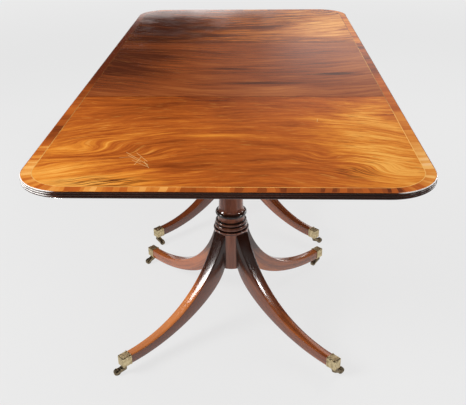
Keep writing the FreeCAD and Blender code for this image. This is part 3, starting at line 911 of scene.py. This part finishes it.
@dataclass
class TableTop:
    """The three tops: figured boards, crossbands and stringing."""

    width: float = 1.28
    length: float = 2.6616
    corner: float = 0.165
    top_reed: float = 0.7335
    level_normal: float = 0.95
    smooth_degrees: float = 40.0
    # The painted highlight on the reeds: its strength, how far from each end of a corner it grows to full,
    # the slopes it lies on, and its share on the lower reeds at left and right
    highlight_share: float = 0.72
    highlight_run: float = 0.25
    highlight_slope: Pair = (0.1, 0.4)
    lower_highlight: Pair = (0.8, 0.4)

    # Some tone spots are painted light: the darker left of the middle and rear boards and the lighter right
    # of all three stand in for how light falls across the top; the other spots are the figure's own tone
    boards: tuple[tuple[Section, FiguredBoard], ...] = (
        (Section.FRONT, FiguredBoard(
            "figured_board_front", joints=(-0.4508,),
            eyes=(Spot(-0.45, -1.03, (0.22, 0.12), 0.085), Spot(-0.28, -1.06, (0.15, 0.10), 0.04),
                  Spot(0.52, -1.19, (0.15, 0.09), 0.05), Spot(0.30, -1.08, (0.10, 0.08), 0.045)),
            tones=(Spot(-0.50, -0.72, (0.22, 0.13), 0.06), Spot(-0.42, -1.00, (0.30, 0.26), 0.13),
                   Spot(-0.42, -1.24, (0.40, 0.18), 0.30), Spot(0.48, -0.86, (0.30, 0.38), 0.32),
                   Spot(0.53, -1.18, (0.24, 0.22), 0.35), Spot(0.06, -0.62, (0.34, 0.28), -0.08),
                   Spot(0.12, -1.10, (0.28, 0.20), -0.10), Spot(-0.10, -0.46, (0.90, 0.20), -0.13),
                   Spot(-0.05, -0.885, (0.22, 0.025), 0.18), Spot(-0.22, -1.12, (0.30, 0.30), -0.09),
                   Spot(-0.60, -1.18, (0.22, 0.30), 0.10), Spot(0.20, -0.72, (0.20, 0.14), 0.08),
                   Spot(0.54, -0.58, (0.22, 0.20), 0.13), Spot(-0.34, -0.62, (0.24, 0.22), -0.09)),
            burrs=(Spot(-0.35, -1.262, (0.25, 0.065), 1.0), Spot(0.39, -1.19, (0.10, 0.06), 1.0)),
            lively=(Spot(-0.42, -1.05, (0.40, 0.42), 0.5), Spot(0.50, -1.02, (0.34, 0.46), 0.7),
                    Spot(0.50, -0.64, (0.28, 0.24), 0.7)),
            scratches=(
                Scratch((-0.335, -1.035), (0.085, -0.100)), Scratch((-0.325, -1.060), (0.050, -0.055)),
                Scratch((-0.300, -1.040), (0.045, -0.070)), Scratch((-0.305, -1.100), (0.055, -0.050)),
                Scratch((-0.350, -1.080), (0.050, 0.008)), Scratch((-0.280, -1.075), (-0.012, -0.060)),
                Scratch((-0.265, -1.110), (0.022, -0.050)), Scratch((0.315, -0.715), (-0.004, -0.030))))),
        (Section.MIDDLE, FiguredBoard(
            "figured_board_middle", contrast=0.75, joints=(-0.45, 0.45), seed=3.7,
            arch=-0.35, crown=0.06, arch_span=(0.5, 0.1), fineness=50.0, shortness=3.0,
            dark=rgb(86, 38, 17), body=rgb(148, 74, 34), light=rgb(180, 103, 51), gold=rgb(208, 134, 70),
            tones=(Spot(-0.02, -0.05, (0.18, 0.03), -0.30), Spot(0.10, -0.27, (0.24, 0.035), -0.28),
                   Spot(0.46, -0.13, (0.18, 0.04), -0.28), Spot(0.20, -0.36, (0.22, 0.08), 0.14),
                   Spot(0.00, -0.42, (0.90, 0.12), 0.05), Spot(0.60, -0.10, (0.26, 0.60), 0.16),
                   Spot(-0.58, 0.08, (0.50, 0.66), -0.29), Spot(0.50, 0.42, (0.36, 0.22), 0.14)))),
        (Section.REAR, FiguredBoard(
            "figured_board_rear", contrast=1.0, joints=(0.4508,), seed=7.9, flecks=0.12,
            arch=-0.4, crown=0.0, arch_span=(0.4, 0.9), fineness=45.0, shortness=4.0,
            dark=rgb(74, 32, 13), body=rgb(138, 68, 26), light=rgb(200, 118, 52), gold=rgb(244, 172, 92),
            lively=(Spot(0.45, 0.95, (0.44, 0.56), 0.7),),
            tones=(Spot(-0.46, 0.80, (0.50, 0.74), -0.30), Spot(0.50, 0.95, (0.44, 0.60), 0.40),
                   Spot(0.10, 0.70, (0.34, 0.30), 0.10), Spot(0.45, 0.62, (0.42, 0.26), 0.14)))),
    )
    band: BandVeneer = BandVeneer(
        "crossband_veneer", roughness=0.06, bump=0.02,
        tones=(Spot(-0.60, -1.14, (0.18, 0.28), 0.32), Spot(-0.36, -1.31, (0.36, 0.08), 0.06),
               Spot(-0.62, -0.80, (0.08, 0.20), -0.16), Spot(0.62, -0.85, (0.10, 0.60), 0.16),
               Spot(0.64, -1.16, (0.16, 0.28), 0.20), Spot(0.34, -1.31, (0.44, 0.08), -0.06),
               Spot(-0.62, 0.40, (0.10, 1.10), -0.60), Spot(0.62, 0.10, (0.08, 0.60), -0.14),
               Spot(0.62, 1.00, (0.10, 0.50), 0.12)),
        calm=(Spot(-0.62, -0.30, (0.12, 1.10), -0.14), Spot(0.62, -0.30, (0.12, 1.10), -0.12)))
    line: InlaidLine = InlaidLine("boxwood_line", roughness=0.06, tones=(
        Spot(0.00, -1.30, (0.90, 0.12), 0.60), Spot(-0.58, -1.10, (0.20, 0.45), 0.45),
        Spot(0.58, -0.95, (0.20, 0.60), 0.80), Spot(0.58, 0.10, (0.20, 0.95), 0.30),
        Spot(-0.58, -0.60, (0.20, 0.36), 0.22)))
    # The edge's dark colours are partly the wood's own dark tone and dirt in the reeds, and partly painted
    # shade; its pale fourth colour is a painted highlight on the upper sides of the reeds at the corners
    edge: PlainWood = PlainWood(
        "reeded_edge", roughness=0.2, coat=0.6, pores=0.2, bump=0.02, painted_light="painted_reed_highlight",
        dark=rgb(28, 13, 8), body=rgb(50, 25, 16), light=rgb(78, 41, 26), painted_highlight=rgb(250, 246, 242))
    under: PlainWood = PlainWood(
        "board_underside", roughness=0.6,
        dark=rgb(78, 46, 28), body=rgb(116, 74, 46), light=rgb(140, 96, 62))

    @property
    def side(self) -> float:
        """How far the straight run of an end reaches to either side, in metres."""
        return self.width / 2 - self.corner

    @property
    def end(self) -> float:
        """How far the straight run of a side reaches to either end, in metres."""
        return self.length / 2 - self.corner

    def perimeter(self, spot: Vector, section: Section) -> Pair:
        """How far round its section's edge a spot lies, and how far in from it.

        Args:
            spot: The spot, in metres.
            section: The section.

        Returns:
            The distance round, from the middle of the section's end, and the distance in.
        """
        across, along = abs(spot.x), abs(spot.y)
        way, inward = across, self.length / 2 - along
        if section is Section.MIDDLE:
            way, inward = self.length + spot.y, self.width / 2 - across
        elif along <= self.end:
            way, inward = self.side + self.corner * math.pi / 2 + self.end - along, self.width / 2 - across
        elif across > self.side:
            offset = Vector((across - self.side, along - self.end))
            way = self.side + self.corner * math.atan2(offset.x, offset.y)
            inward = self.corner - offset.length
        return math.copysign(way, spot.x) + 4 * self.length * section.centre, inward

    def mark_reed_highlight(self, board: bpy.types.Object) -> None:
        """Keep a painted highlight on the upper sides of the reeds at the corners, where the polish mirrors
        bright light.

        Args:
            board: The board.
        """
        marks = board.data.attributes.new("painted_reed_highlight", "FLOAT", "POINT")
        lower_left, lower_right = self.lower_highlight
        for vertex in board.data.vertices:
            across, along = abs(vertex.co.x) - self.side, abs(vertex.co.y) - self.end
            if across > 0 and along > 0:
                turn = math.atan2(along, across) / (math.pi / 2)
                middle = share_of(min(turn, 1 - turn), 0.0, self.highlight_run)
                upward = share_of(vertex.normal.z, *self.highlight_slope)
                lower = lower_left if vertex.co.x < 0 else lower_right
                share = 1.0 if vertex.co.z > self.top_reed else lower
                marks.data[vertex.index].value = self.highlight_share * middle * upward * share

    def crossband(self, section: Section) -> None:
        """Lay one section's crossband, with the way round the edge kept for its grain.

        Args:
            section: The section.
        """
        node = f"{section.label}_crossband"
        piece = copy_of(node, f"{section.label}_crossband_veneer")
        flow = piece.data.attributes.new("band_flow", "FLOAT_VECTOR", "POINT")
        for vertex in piece.data.vertices:
            flow.data[vertex.index].vector = (*self.perimeter(vertex.co, section), vertex.co.z)
        dress(piece, self.band)
        settle(piece, section.body, "crossband", node)

    def board(self, section: Section, finish: FiguredBoard) -> None:
        """Dress one section's board: figured on top, dark round its reeded edge, partly as painted shade,
        with a painted highlight on the reeds at the corners, and plain below.

        Args:
            section: The section.
            finish: The finish of its top.
        """
        node = f"{section.label}_top_board"
        piece = copy_of(node, f"{section.label}_polished_board")
        soften(piece, self.smooth_degrees)
        self.mark_reed_highlight(piece)
        dress(piece, finish)
        piece.data.materials.append(self.edge.material())
        piece.data.materials.append(self.under.material())
        for face in piece.data.polygons:
            level = abs(face.normal.z) > self.level_normal
            face.material_index = 1 if not level else 0 if face.normal.z > 0 else 2
        settle(piece, section.body, "mahogany", node)

    def build(self) -> None:
        """Dress the boards and lay the bands and lines."""
        for section, finish in self.boards:
            self.board(section, finish)
            self.crossband(section)
            dress(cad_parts[f"{section.label}_stringing"], self.line)


@dataclass
class SabreLegs:
    """Four sabre legs round each column, lofted on the solids' own curves with softened arrises."""

    drum_radius: float = 0.0605
    root_top: float = 0.378
    root_bottom: float = 0.236
    root_width: float = 0.054
    toe_reach: float = 0.491
    toe_bottom: float = 0.0363
    toe_thickness: float = 0.038
    toe_width: float = 0.0315
    upper_sweep: Pair = (0.041, 0.128)
    upper_toe_run: float = 0.255
    lower_sweep: Pair = (0.031, 0.100)
    lower_toe_run: float = 0.194
    root_crown: float = 0.003
    toe_crown: float = 0.001
    crown_flat: float = 0.4
    crown_share: float = 0.84
    stations: int = 40
    arris: float = 0.0045
    arris_steps: int = 3
    seat: float = 0.010
    tongue: float = 0.003
    first_degrees: float = 45.0
    smooth_degrees: float = 40.0
    painted_light_slope: Pair = (0.25, 0.3)
    painted_light_run: Pair = (0.14, 0.12)
    grain_shift: Place = (1.3, 5.9, 0.21)
    # The tones paint light and shade: each front leg is lighter or darker all over as it is lit, with
    # painted light on its upper face toward the toe, and the shaded tones darken the legs of the middle and
    # rear sections as painted shade under the top
    tones: tuple[Pair, ...] = ((-0.06, 0.10), (-0.11, 0.02), (-0.22, 0.40), (-0.22, 0.12))
    shaded_tones: tuple[float, ...] = (-0.16, -0.16, -0.42, -0.12)
    # Its shade darkens the legs round their roots by the drum, as painted shade under the top
    finish: PlainWood = PlainWood(
        "leg_mahogany", roughness=0.18, attribute="leg_flow", painted_light="leg_tone_and_painted_light", pores=0.15, filled=True,
        bump=0.3, coat=0.7, coat_rough=0.14, thin_above=0.27,
        dark=rgb(110, 52, 24), body=rgb(170, 92, 44), light=rgb(206, 124, 62),
        shades=(Shade(0.37, 0.18, 0.85),))

    def curve(self, upper: bool) -> tuple[Vector, ...]:
        """The four poles of the upper or the lower edge, in the plane of the leg.

        Args:
            upper: Whether it is the upper one.

        Returns:
            The poles, from root to toe.
        """
        if upper:
            out, down, run = *self.upper_sweep, self.upper_toe_run
            root, toe = self.root_top, self.toe_bottom + self.toe_thickness
            root_crown, toe_crown = self.root_crown, self.toe_crown
        else:
            out, down, run = *self.lower_sweep, self.lower_toe_run
            root, toe = self.root_bottom, self.toe_bottom
            root_crown, toe_crown = 0.0, 0.0
        return (
            Vector((self.drum_radius, 0.0, root - root_crown)),
            Vector((self.drum_radius + out, 0.0, root - down)),
            Vector((self.toe_reach - run, 0.0, toe - toe_crown)),
            Vector((self.toe_reach, 0.0, toe - toe_crown)),
        )

    @staticmethod
    def on_curve(poles: Sequence[Vector], share: float) -> Vector:
        """The point of a four-pole curve at a share of its course.

        Args:
            poles: The four poles.
            share: 0 at the first and 1 at the last.

        Returns:
            The point.
        """
        rest = 1 - share
        first, second, third, last = poles
        return first * rest ** 3 + (second * rest + third * share) * (3 * rest * share) + last * share ** 3

    def ring(self, share: float) -> list[Vector]:
        """The leg's outline at a share of its run, with rounded arrises.

        Args:
            share: 0 at the root and 1 at the toe.

        Returns:
            The outline's points, in order.
        """
        low, high = (self.on_curve(self.curve(upper), share) for upper in (False, True))
        half = (self.root_width + (self.toe_width - self.root_width) * share) / 2
        crown = self.root_crown + (self.toe_crown - self.root_crown) * share
        tall = (high - low).length
        rise = (high - low).normalized()
        points = []
        for side, upper, turn in ((1, False, -90), (1, True, 0), (-1, True, 90), (-1, False, 180)):
            centre = Vector((side * (half - self.arris), tall - self.arris if upper else self.arris))
            for step in range(self.arris_steps + 1):
                angle = math.radians(turn + step * 90 / self.arris_steps)
                points.append(centre + Vector((math.cos(angle), math.sin(angle))) * self.arris)
            if side > 0 and upper:
                for flat in (self.crown_flat, -self.crown_flat):
                    points.append(Vector((half * flat, tall + crown * self.crown_share)))
        return [low + rise * point.y + Vector((0.0, point.x, 0.0)) for point in points]

    def one(self) -> bpy.types.Object:
        """One leg along +X, drawn out face by face from its seat in the drum to its tongue in the toe cap.

        Returns:
            The leg.
        """
        rings = [self.ring(number / (self.stations - 1)) for number in range(self.stations)]
        rings.insert(0, [point - Vector((self.seat, 0.0, 0.0)) for point in rings[0]])
        rings.append([point + Vector((self.tongue, 0.0, 0.0)) for point in rings[-1]])
        bpy.ops.object.select_all(action="DESELECT")
        bpy.ops.mesh.primitive_circle_add(vertices=len(rings[0]), fill_type="NGON")
        leg = bpy.context.object
        for vertex, point in zip(leg.data.vertices, rings[0]):
            vertex.co = point
        bpy.ops.object.mode_set(mode="EDIT")
        bpy.ops.mesh.select_all(action="SELECT")
        for before, after in zip(rings, rings[1:]):
            bpy.ops.mesh.extrude_region_move()
            mesh = bmesh.from_edit_mesh(leg.data)
            for vertex in [vertex for vertex in mesh.verts if vertex.select]:
                gaps = [(point - vertex.co).length_squared for point in before]
                vertex.co = after[gaps.index(min(gaps))]
            bmesh.update_edit_mesh(leg.data)
        bpy.ops.mesh.select_all(action="SELECT")
        bpy.ops.mesh.normals_make_consistent(inside=False)
        bpy.ops.object.mode_set(mode="OBJECT")
        self.mark_flow(leg, rings)
        return leg

    @staticmethod
    def mark_flow(leg: bpy.types.Object, rings: list[list[Vector]]) -> None:
        """Keep each point's way along, across and up the leg for its grain.

        Args:
            leg: The leg.
            rings: Its outlines from root to toe.
        """
        ways = {}
        run, last = 0.0, None
        for ring in rings:
            middle = sum(ring, Vector()) / len(ring)
            run += (middle - last).length if last is not None else 0.0
            last = middle
            for point in ring:
                ways[key_of(point)] = (run, point.y, (point - middle).z)
        flow = leg.data.attributes.new("leg_flow", "FLOAT_VECTOR", "POINT")
        for vertex in leg.data.vertices:
            flow.data[vertex.index].vector = ways.get(key_of(vertex.co), (0.0, vertex.co.y, vertex.co.z))

    def mark_tone_and_painted_light(self, leg: bpy.types.Object, tone: float, painted_light: float) -> None:
        """Keep how much lighter or darker a leg is all over, which paints light and shade, and the painted
        light on its upper face toward the toe.

        Args:
            leg: The leg, in its place.
            tone: The shift of tone all over, which paints light and shade.
            painted_light: The further shift on the upper face, which paints light.
        """
        marks = leg.data.attributes.new("leg_tone_and_painted_light", "FLOAT", "POINT")
        flow = leg.data.attributes["leg_flow"].data
        for vertex in leg.data.vertices:
            upward = share_of(vertex.normal.z, *self.painted_light_slope)
            outward = share_of(flow[vertex.index].vector.x, *self.painted_light_run)
            marks.data[vertex.index].value = tone + painted_light * upward * outward

    def placed(self, model: bpy.types.Object, section: Section, number: int) -> bpy.types.Object:
        """A copy of the leg in its place round a column, with its own grain and a tone that paints light and
        shade.

        Args:
            model: The leg along +X.
            section: The section.
            number: Which of its four legs.

        Returns:
            The copy.
        """
        leg = show(f"{section.label}_leg_{number}", model.data.copy())
        turn = Matrix.Rotation(math.radians(self.first_degrees + 90 * number), 4, "Z")
        leg.data.transform(Matrix.Translation((0.0, section.centre, 0.0)) @ turn)
        # Front legs take their tones of painted light and shade; the legs behind take painted shade all over
        shaded = (self.shaded_tones[number], 0.0)
        self.mark_tone_and_painted_light(leg, *(self.tones[number] if section is Section.FRONT else shaded))
        by_leg, by_section, deep = self.grain_shift
        shift = Vector((by_leg * number + by_section * section.centre, 0.0, deep * number))
        for value in leg.data.attributes["leg_flow"].data:
            value.vector = value.vector + shift
        return leg

    def build(self) -> None:
        """Set four legs round each column."""
        model = self.one()
        for section in Section:
            legs = [self.placed(model, section, number) for number in range(4)]
            only(legs[0])
            for leg in legs[1:]:
                leg.select_set(True)
            bpy.ops.object.join()
            piece = bpy.context.object
            piece.name = f"{section.label}_sabre_legs"
            soften(piece, self.smooth_degrees)
            dress(piece, self.finish)
            settle(piece, section.body, "mahogany", f"{section.label}_legs")
        bpy.data.objects.remove(model)


@dataclass
class Pedestals:
    """Columns, brass caps and castors."""

    smooth_degrees: float = 30.0
    # Its shades are painted shade in the collar's grooves and over its beads; the darkest band, round the
    # ring, stands for the ring's ebonised finish as well as for shade
    column: PlainWood = PlainWood(
        "column_mahogany", roughness=0.16, grain=(0.0, math.pi / 2, 0.0), pores=0.15, filled=True,
        bump=0.3, coat=0.4, coat_rough=0.1,
        dark=rgb(84, 43, 30), body=rgb(136, 77, 54), light=rgb(168, 105, 74),
        shades=(Shade(0.4482, 0.0115, 0.96), Shade(0.3905, 0.003, 0.9), Shade(0.4085, 0.0035, 0.9),
                Shade(0.4210, 0.003, 0.9), Shade(0.3800, 0.003, 0.8), Shade(0.4075, 0.022, 0.4)))
    finishes: tuple[tuple[str, Finish], ...] = (
        ("_toe_caps", AgedMetal(
            "cap_brass", roughness=0.42, bump=0.02, tone=rgb(224, 206, 164), tarnish=rgb(142, 122, 90))),
        ("castor", AgedMetal(
            "castor_bronze", roughness=0.42, bump=0.03, amount=0.8,
            tone=rgb(150, 134, 108), tarnish=rgb(72, 61, 46))),
    )

    def build(self) -> None:
        """Dress the columns, caps, horns and wheels."""
        for section in Section:
            piece = copy_of(f"{section.label}_column", f"{section.label}_polished_column")
            soften(piece, self.smooth_degrees)
            dress(piece, self.column)
            settle(piece, section.body, "mahogany", f"{section.label}_column")
        dress_nodes(self.finishes)


@dataclass
class UnderTop:
    """Bearers, blocks, screws, dowels and catches, out of sight from above."""

    bearer: PlainWood = PlainWood(
        "bearer_wood", roughness=0.5, grain=(0.0, 0.0, math.pi / 2),
        dark=rgb(64, 34, 20), body=rgb(104, 60, 36), light=rgb(132, 82, 50))
    dowel: PlainWood = PlainWood(
        "dowel_beech", roughness=0.55, grain=(0.0, 0.0, math.pi / 2), pores=0.1,
        dark=rgb(150, 110, 72), body=rgb(186, 146, 104), light=rgb(206, 170, 128))
    brass: AgedMetal = AgedMetal("catch_brass", roughness=0.36, amount=0.6)
    steel: AgedMetal = AgedMetal(
        "screw_steel", roughness=0.42, amount=0.6, tone=rgb(140, 136, 130), tarnish=rgb(74, 66, 58))

    def build(self) -> None:
        """Dress what is under the tops."""
        dress_nodes((("_bearers", self.bearer), ("_top_block", self.bearer), ("seam_dowels", self.dowel),
                     ("catch", self.brass), ("_screws", self.steel)))


@dataclass(frozen=True)
class Window:
    """A bright patch of the room that polish mirrors: where it lies, its brightness and its soft edge."""

    across: Pair
    along: Pair
    up: Pair
    bright: float
    soft: float = 0.05

    def glow(self, sheet: Sheet, way: Sequence[Socket]) -> Feed:
        """The patch's light.

        Args:
            sheet: The world's own sheet.
            way: The three numbers of the direction that is looked in.

        Returns:
            Its brightness inside it, and 0 outside.
        """
        glow: Feed = self.bright
        for number, (low, high) in zip(way, (self.across, self.along, self.up)):
            for edge, side in ((low, self.soft), (high, -self.soft)):
                glow = sheet.times(sheet.span(number, edge - side, edge + side), glow)
        return glow


@dataclass(frozen=True)
class SoftBox:
    """A soft box: where it hangs, its aim, its size and watts, and whether only polish shows it."""

    name: str
    place: Place
    aim: Place
    size: Pair
    watts: float
    mirrored: bool = False

    def hang(self) -> None:
        """Hang the soft box."""
        data = bpy.data.lights.new(self.name, "AREA")
        data.shape = "RECTANGLE"
        data.size, data.size_y = self.size
        data.energy = self.watts
        lamp = show(self.name, data)
        lamp.visible_camera = False
        lamp.visible_glossy = self.mirrored
        lamp.visible_diffuse = not self.mirrored
        turn = (Vector(self.aim) - Vector(self.place)).to_track_quat("-Z", "Y")
        lamp.matrix_world = Matrix.Translation(self.place) @ turn.to_matrix().to_4x4()


@dataclass
class Studio:
    """Pale floor, soft light and the camera, whose focal length is in the photograph's pixels."""

    frame_width: float = 466.0
    focal: float = 663.0
    sensor: float = 36.0
    eye: Place = (0.087, -3.031, 1.580)
    pitch: float = math.radians(27.12)
    yaw: float = math.radians(-2.13)
    roll: float = math.radians(-0.66)
    far: float = 200.0
    backdrop: Colour = rgb(234, 234, 234)
    white: Colour = (1.0, 1.0, 1.0, 1.0)
    fill: float = 0.25
    floor_size: float = 60.0
    near_across: Pair = (0.9, 1.6)
    near_along: Pair = (1.45, 1.75)
    far_gleam: float = 0.04
    shadow_reach: Pair = (2.5, 7.0)
    shadow_share: float = 0.88
    right_side: Pair = (-0.14, 0.12)
    low_glow: Pair = (1.8, 0.45)
    cloud_waves: Pair = (9.0, 22.0)
    cloud_glow: Pair = (0.6, 1.4)
    low_width: Pair = (0.55, 0.4)
    low_foot: Pair = (0.11, 0.165)
    foot_share: float = 0.15
    high_step: Pair = (0.38, 0.28)
    high_glow: Pair = (0.05, 0.24)
    least_glow: float = 0.02
    horizon: Pair = (0.185, 0.201)
    windows: tuple[Window, ...] = (
        Window((-1.2, -0.5), (0.3, 1.2), (-0.04, 0.11), 2.0),
        Window((0.5, 1.2), (0.3, 1.2), (-0.04, 0.11), 8.0),
        Window((0.04, 1.2), (0.3, 1.2), (0.22, 0.257), 0.45),
    )
    lamps: tuple[SoftBox, ...] = (
        SoftBox("key_soft_box", (-3.5, -2.4, 2.9), (-0.1, -0.9, 0.3), (1.8, 1.8), 190.0),
        SoftBox("left_soft_box", (-3.4, 0.4, 1.1), (0.0, -0.4, 0.5), (1.6, 1.6), 8.0),
        SoftBox("right_soft_box", (3.2, -2.4, 1.5), (0.0, -0.9, 0.4), (1.6, 1.6), 26.0),
        SoftBox("top_soft_box", (1.8, 1.4, 3.0), (0.3, 0.4, 0.7), (1.8, 1.8), 74.0),
        SoftBox("left_leg_gleam", (-0.59, -1.07, 0.53), (0.0, -1.07, 0.53), (0.17, 0.09), 1.3, True),
        SoftBox("right_leg_gleam", (0.60, -1.10, 0.61), (0.0, -1.10, 0.61), (0.05, 0.05), 0.7, True),
        SoftBox("left_cap_gleam", (-0.55, -0.58, 0.62), (-0.55, -0.58, 0.0), (0.50, 0.76), 0.42, True),
        SoftBox("right_cap_gleam", (0.47, -0.54, 0.62), (0.47, -0.54, 0.0), (0.36, 0.40), 0.6, True),
        SoftBox("far_leg_gleam", (0.58, 0.85, 0.62), (0.58, 0.85, 0.0), (0.22, 0.22), 0.6, True),
    )

    def camera(self) -> None:
        """Stand the camera where the photograph was taken from."""
        level = Vector((math.sin(self.yaw), math.cos(self.yaw), 0.0))
        ahead = level * math.cos(self.pitch) - Vector((0.0, 0.0, math.sin(self.pitch)))
        right = Vector((math.cos(self.yaw), -math.sin(self.yaw), 0.0))
        down = ahead.cross(right)
        axis_x = right * math.cos(self.roll) - down * math.sin(self.roll)
        axis_y = -(right * math.sin(self.roll) + down * math.cos(self.roll))
        data = bpy.data.cameras.new("photo_camera")
        data.sensor_width = self.sensor
        data.lens = self.focal / self.frame_width * self.sensor
        data.clip_end = self.far
        camera = show("photo_camera", data)
        turn = Matrix((axis_x, axis_y, -ahead)).transposed()
        camera.matrix_world = Matrix.Translation(self.eye) @ turn.to_4x4()
        bpy.context.scene.camera = camera

    def seen(self, sheet: Sheet) -> Socket:
        """1 for the rays that show the backdrop as it is, and 0 for those that carry its light.

        Args:
            sheet: The floor's or the world's own sheet.

        Returns:
            The 1 or 0.
        """
        path = sheet.node("LightPath", {}).outputs
        shown = sheet.math("MAXIMUM", path["Is Camera Ray"], path["Is Transmission Ray"])
        return sheet.math("MAXIMUM", shown, path["Is Glossy Ray"])

    def room(self, sheet: Sheet) -> Socket:
        """How bright the room is where polish mirrors it: pale low down, dim above, with windows.

        Args:
            sheet: The world's own sheet.

        Returns:
            The brightness.
        """
        way = sheet.split(sheet.node("TexCoord", {}).outputs["Generated"])
        across, _, up = way
        wide, tall = self.cloud_waves
        right = sheet.span(across, *self.right_side)
        cloud = sheet.noise(sheet.join(sheet.times(across, wide), sheet.times(up, tall)))
        low = sheet.span(right, 0.0, 1.0, *self.low_glow)
        for share in (sheet.span(cloud, *USUAL_NOISE, *self.cloud_glow),
                      sheet.span(sheet.apart(across), *self.low_width),
                      sheet.span(up, *self.low_foot, self.foot_share, 1.0)):
            low = sheet.times(low, share)
        high = sheet.fused(right, sheet.span(up, *self.high_step, *self.high_glow), self.least_glow)
        above = sheet.span(up, *self.horizon)
        glow = sheet.fused(high, above, sheet.times(low, sheet.minus(1.0, above)))
        for window in self.windows:
            glow = sheet.math("ADD", glow, window.glow(sheet, way))
        return glow

    def floor(self) -> None:
        """Lay the pale floor, which keeps a soft shadow of the table and is clear from below."""
        bpy.ops.object.select_all(action="DESELECT")
        bpy.ops.mesh.primitive_plane_add(size=self.floor_size)
        floor = bpy.context.object
        floor.name = "studio_floor"
        made = bpy.data.materials.new("studio_floor")
        made.use_nodes = True
        made.node_tree.nodes.clear()
        sheet = Sheet(made.node_tree)
        place = sheet.spot()
        across, along, _ = sheet.split(place)
        near = sheet.times(sheet.span(sheet.apart(across), *self.near_across, 1.0, self.far_gleam),
                           sheet.span(sheet.apart(along), *self.near_along, 1.0, self.far_gleam))
        glossy = sheet.node("LightPath", {}).outputs["Is Glossy Ray"]
        strength = sheet.fused(glossy, sheet.minus(near, 1.0), 1.0)
        matt = sheet.node("BsdfDiffuse", {"Color": self.backdrop}).outputs[0]
        glow = sheet.node("Emission", {"Color": self.backdrop, "Strength": strength}).outputs[0]
        away = sheet.span(sheet.measure("LENGTH", place), *self.shadow_reach, self.shadow_share, 1.0)
        shown = sheet.times(self.seen(sheet), away)
        above = sheet.node("MixShader", {0: shown, 1: matt, 2: glow}).outputs[0]
        below = sheet.node("BsdfTransparent", {}).outputs[0]
        turned = sheet.node("NewGeometry", {}).outputs["Backfacing"]
        mixed = sheet.node("MixShader", {0: turned, 1: above, 2: below})
        sheet.node("OutputMaterial", {"Surface": mixed.outputs[0]})
        floor.data.materials.append(made)

    def world(self) -> None:
        """Fill the room with soft light, and show the backdrop's colour."""
        world = bpy.data.worlds.new("studio")
        world.use_nodes = True
        world.node_tree.nodes.clear()
        sheet = Sheet(world.node_tree)
        room = self.room(sheet)
        shown, light, mirrored = (
            sheet.node("Background", {"Color": colour, "Strength": strength}).outputs[0]
            for colour, strength in ((self.backdrop, 1.0), (self.white, self.fill), (self.white, room)))
        glossy = sheet.node("LightPath", {}).outputs["Is Glossy Ray"]
        around = sheet.node("MixShader", {0: self.seen(sheet), 1: light, 2: shown}).outputs[0]
        mixed = sheet.node("MixShader", {0: glossy, 1: around, 2: mirrored})
        sheet.node("OutputWorld", {"Surface": mixed.outputs[0]})
        bpy.context.scene.world = world

    def build(self) -> None:
        """Set up camera, floor, world and lamps."""
        self.camera()
        self.floor()
        self.world()
        for lamp in self.lamps:
            lamp.hang()
        bpy.context.scene.view_settings.view_transform = "Standard"


def main() -> None:
    """Build every sub-assembly in order."""
    logging.basicConfig(level=logging.INFO)
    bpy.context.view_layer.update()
    for part in (TableTop(), SabreLegs(), Pedestals(), UnderTop(), Studio()):
        part.build()
        log.info("%s done", type(part).__name__)


if __name__ == "__main__":
    main()
